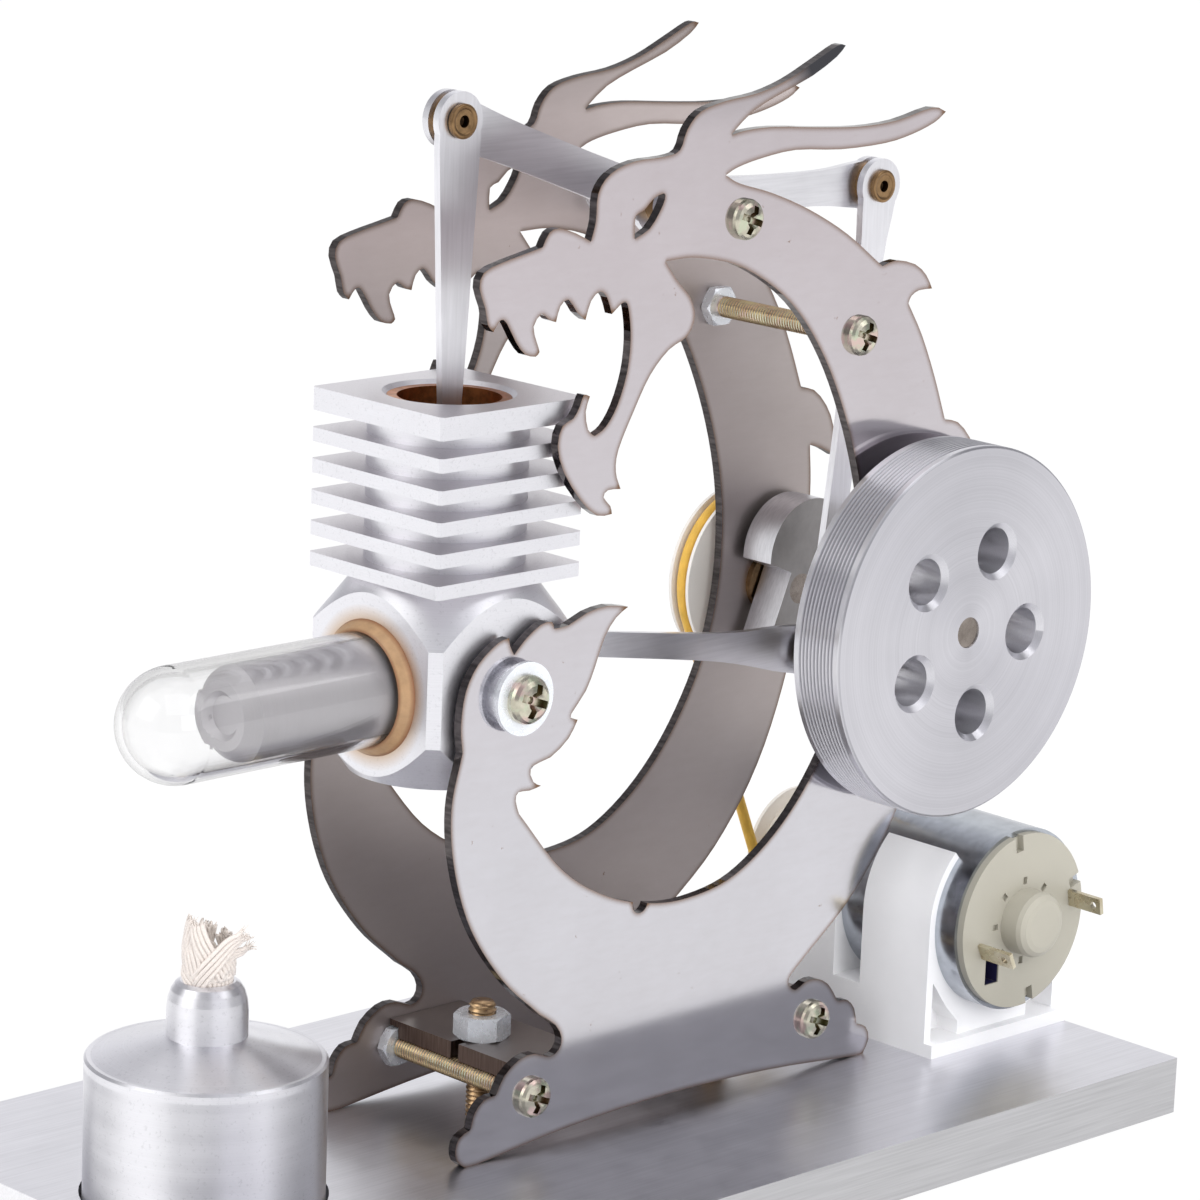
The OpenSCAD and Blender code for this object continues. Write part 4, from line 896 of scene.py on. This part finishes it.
class ENGINE_OT_belt(bpy.types.Operator):
    """Make the round drive belt between the two pulleys"""
    bl_idname = "engine.belt"
    bl_label = "Drive belt"

    def execute(self, context):
        low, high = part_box("drive_belt")
        y = (low[1] + high[1]) / 2
        thick = (high[1] - low[1]) / 2
        reach = Vector((MOTOR.x - CRANK.x, 0.0, MOTOR.z - CRANK.z))
        length = reach.length
        out = reach.normalized()
        side = Vector((-out.z, 0.0, out.x))
        wrap = math.acos((BELT_BIG - BELT_SMALL) / length)
        path = []

        def arc(centre, radius, start, end, steps):
            for i in range(steps + 1):
                t = start + (end - start) * i / steps
                path.append(centre + radius * (math.cos(t) * out + math.sin(t) * side))

        def run(start, end):
            path.extend(start.lerp(end, i / RUN_STEPS) for i in range(1, RUN_STEPS))

        big, small = Vector((CRANK.x, y, CRANK.z)), Vector((MOTOR.x, y, MOTOR.z))
        arc(big, BELT_BIG, wrap, 2 * math.pi - wrap, BIG_STEPS)
        run(path[-1], small + BELT_SMALL * (math.cos(-wrap) * out + math.sin(-wrap) * side))
        arc(small, BELT_SMALL, -wrap, wrap, SMALL_STEPS)
        run(path[-1], path[0])
        bm = bmesh.new()
        tube(bm, path, thick, 14, closed=True)
        piece = new_piece("round_belt", mesh_from(bm, "round_belt"),
                          rubber("belt_amber", tuple(context.scene.engine_finish.belt)), "frame")
        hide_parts("drive_belt")
        return {"FINISHED"}


class ENGINE_OT_burner(bpy.types.Operator):
    """Finish the burner and plait its cotton wick"""
    bl_idname = "engine.burner"
    bl_label = "Burner and wick"

    def execute(self, context):
        f = context.scene.engine_finish
        bright = tone(tuple(f.aluminium), 1.12)
        paint(turned_aluminium("burner_turned", bright, BURNER, Z_AXIS, 0.33, 1.0, 0.12), "burner_cup")
        paint(turned_aluminium("lid_turned", bright, BURNER, Z_AXIS, 0.32, 0.85, 0.12), "burner_lid")
        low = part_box("burner_wick")[0]
        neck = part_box("burner_lid")[1][2]
        deep = (low[2] - neck) / MM
        rng = random.Random(WICK_SEED)
        bm = bmesh.new()
        core = [Vector((BURNER.x, 0.0, low[2] + (neck + CORE_TOP * MM - low[2]) * i / 12)) for i in range(13)]
        tube(bm, core, CORE_RADIUS * MM, 16)
        for count, fray, places in self.plait(deep):
            self.bundle(bm, rng, neck, places, count, fray)
        piece = new_piece("plaited_wick", mesh_from(bm, "plaited_wick"), cotton("wick_cotton", tuple(f.wick)),
                          "burner")
        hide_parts("burner_wick")
        return {"FINISHED"}

    def plait(self, deep):
        """Bundles of the wick: yarns, length of fray, and places as angle, height and distance from the axis."""
        rows = [(4, 0.5, ((-100, deep, 2.7), (-100, 0, 2.7), (-92, 2.6, 2.9), (-80, 4.8, 2.8), (-66, 6.4, 2.55),
                          (-60, 7.2, 2.4))),
                (4, 0.6, ((-62, deep, 2.7), (-62, 0, 2.7), (-60, 2.2, 2.9), (-50, 4.4, 2.85), (-41, 6.2, 2.65),
                          (-36, 7.1, 2.5))),
                (4, 0.4, ((22, 2.0, 2.3), (9, 3.3, 3.05), (-8, 5.0, 3.3), (-19, 6.3, 3.1), (-26, 7.0, 2.75))),
                (4, 0.0, ((-20, deep, 2.65), (-20, 0, 2.7), (-24, 1.3, 3.15), (-32, 3.1, 3.25), (-41, 4.3, 3.05),
                          (-48, 5.0, 2.4))),
                (3, 0.0, ((-84, 2.3, 2.6), (-66, 1.5, 3.05), (-46, 0.6, 3.1), (-34, -0.4, 2.6))),
                (4, 0.7, ((-32, -0.6, 2.4), (-16, 0.7, 3.15), (2, 2.1, 3.5), (22, 3.5, 3.55), (43, 4.9, 3.75),
                          (55, 5.6, 4.2), (60, 6.0, 4.6))),
                (4, 0.0, ((14, deep, 2.65), (14, 0, 2.7), (8, 1.0, 2.9), (-2, 2.2, 2.6))),
                (4, 0.0, ((48, deep, 2.65), (48, 0, 2.7), (42, 1.2, 3.1), (30, 2.5, 3.1), (19, 3.3, 2.5))),
                (4, 0.0, ((86, deep, 2.65), (86, 0, 2.7), (76, 1.4, 3.05), (60, 2.8, 3.05), (46, 3.8, 2.5))),
                (3, 0.8, ((30, 2.2, 2.3), (46, 3.1, 2.95), (62, 3.7, 3.5), (71, 4.0, 4.2), (74, 4.4, 4.7)))]
        for angle, top, lean in ((120, 4.8, 16), (150, 5.3, -14), (180, 5.5, 14), (210, 5.9, -14), (236, 6.3, 16)):
            rows.append((4, 0.4, ((angle, deep, 2.65), (angle, 0, 2.7), (angle + lean, top * 0.6, 2.95),
                                  (angle + lean * 1.6, top, 2.6))))
        return rows

    def bundle(self, bm, rng, neck, places, count, fray):
        """Yarns side by side on the wick, with frayed ends."""
        path, outs = [], []
        for i in range(len(places) - 1):
            a, b, c, d = (places[max(0, min(len(places) - 1, i + k))] for k in (-1, 0, 1, 2))
            for j in range(8 if i < len(places) - 2 else 9):
                t = j / 8
                angle, height, away = (0.5 * (2 * q + (r - p) * t + (2 * p - 5 * q + 4 * r - w) * t * t
                                              + (3 * q - p - 3 * r + w) * t ** 3) for p, q, r, w in zip(a, b, c, d))
                out = VIEW_RIGHT * math.sin(math.radians(angle)) + VIEW_NEAR * math.cos(math.radians(angle))
                path.append(Vector((BURNER.x, 0.0, neck + height * MM)) + out * (away * MM))
                outs.append(out)
        for yarn in range(count):
            shift = (yarn - (count - 1) / 2) * YARN_PITCH * MM
            points = []
            for i, (place, out) in enumerate(zip(path, outs)):
                ahead = (path[min(i + 1, len(path) - 1)] - path[max(i - 1, 0)]).normalized()
                points.append(place + ahead.cross(out) * shift - out * (shift * shift / (5.4 * MM)))
            end = (points[-1] - points[-3]).normalized()
            last = points[-1] + end * (fray * rng.uniform(0.2, 1.3) * MM)
            tube(bm, points + [last], [YARN_RADIUS * MM] * len(points) + [YARN_END * MM], 7)
            for _ in range(FIBRES if fray else 0):
                start = last - end * (0.25 * MM) + Vector([rng.uniform(-0.18, 0.18) for _ in range(3)]) * MM
                bend = end + Vector([rng.uniform(-0.7, 0.7) for _ in range(3)])
                tip = start + bend * (rng.uniform(0.6, 1.1) * fray * MM)
                tube(bm, [start, start.lerp(tip, 0.5) + end * (0.1 * MM), tip], [r * MM for r in FIBRE_RADII], 5)


class ENGINE_PT_panel(bpy.types.Panel):
    """Sidebar list of the engine's pieces"""
    bl_label = "Hot-air engine"
    bl_idname = "ENGINE_PT_panel"
    bl_space_type = "VIEW_3D"
    bl_region_type = "UI"
    bl_category = "Engine"

    def draw(self, context):
        for operator in OPERATORS:
            self.layout.operator(operator.bl_idname)
        for group in (context.scene.engine_finish, context.scene.engine_stage):
            box = self.layout.box()
            for name in group.__annotations__:
                box.prop(group, name)


OPERATORS = (ENGINE_OT_stage, ENGINE_OT_frame, ENGINE_OT_cylinder, ENGINE_OT_crank, ENGINE_OT_rods,
             ENGINE_OT_fasteners, ENGINE_OT_motor, ENGINE_OT_belt, ENGINE_OT_burner)
CLASSES = (EngineFinish, EngineStage, *OPERATORS, ENGINE_PT_panel)


def register():
    for cls in CLASSES:
        bpy.utils.register_class(cls)
    bpy.types.Scene.engine_finish = bpy.props.PointerProperty(type=EngineFinish)
    bpy.types.Scene.engine_stage = bpy.props.PointerProperty(type=EngineStage)


def unregister():
    del bpy.types.Scene.engine_stage
    del bpy.types.Scene.engine_finish
    for cls in reversed(CLASSES):
        bpy.utils.unregister_class(cls)


def main():
    register()
    bpy.ops.engine.stage()
    bpy.ops.engine.frame()
    bpy.ops.engine.cylinder()
    bpy.ops.engine.crank()
    bpy.ops.engine.rods()
    bpy.ops.engine.fasteners()
    bpy.ops.engine.motor()
    bpy.ops.engine.belt()
    bpy.ops.engine.burner()


if __name__ == "__main__":
    main()
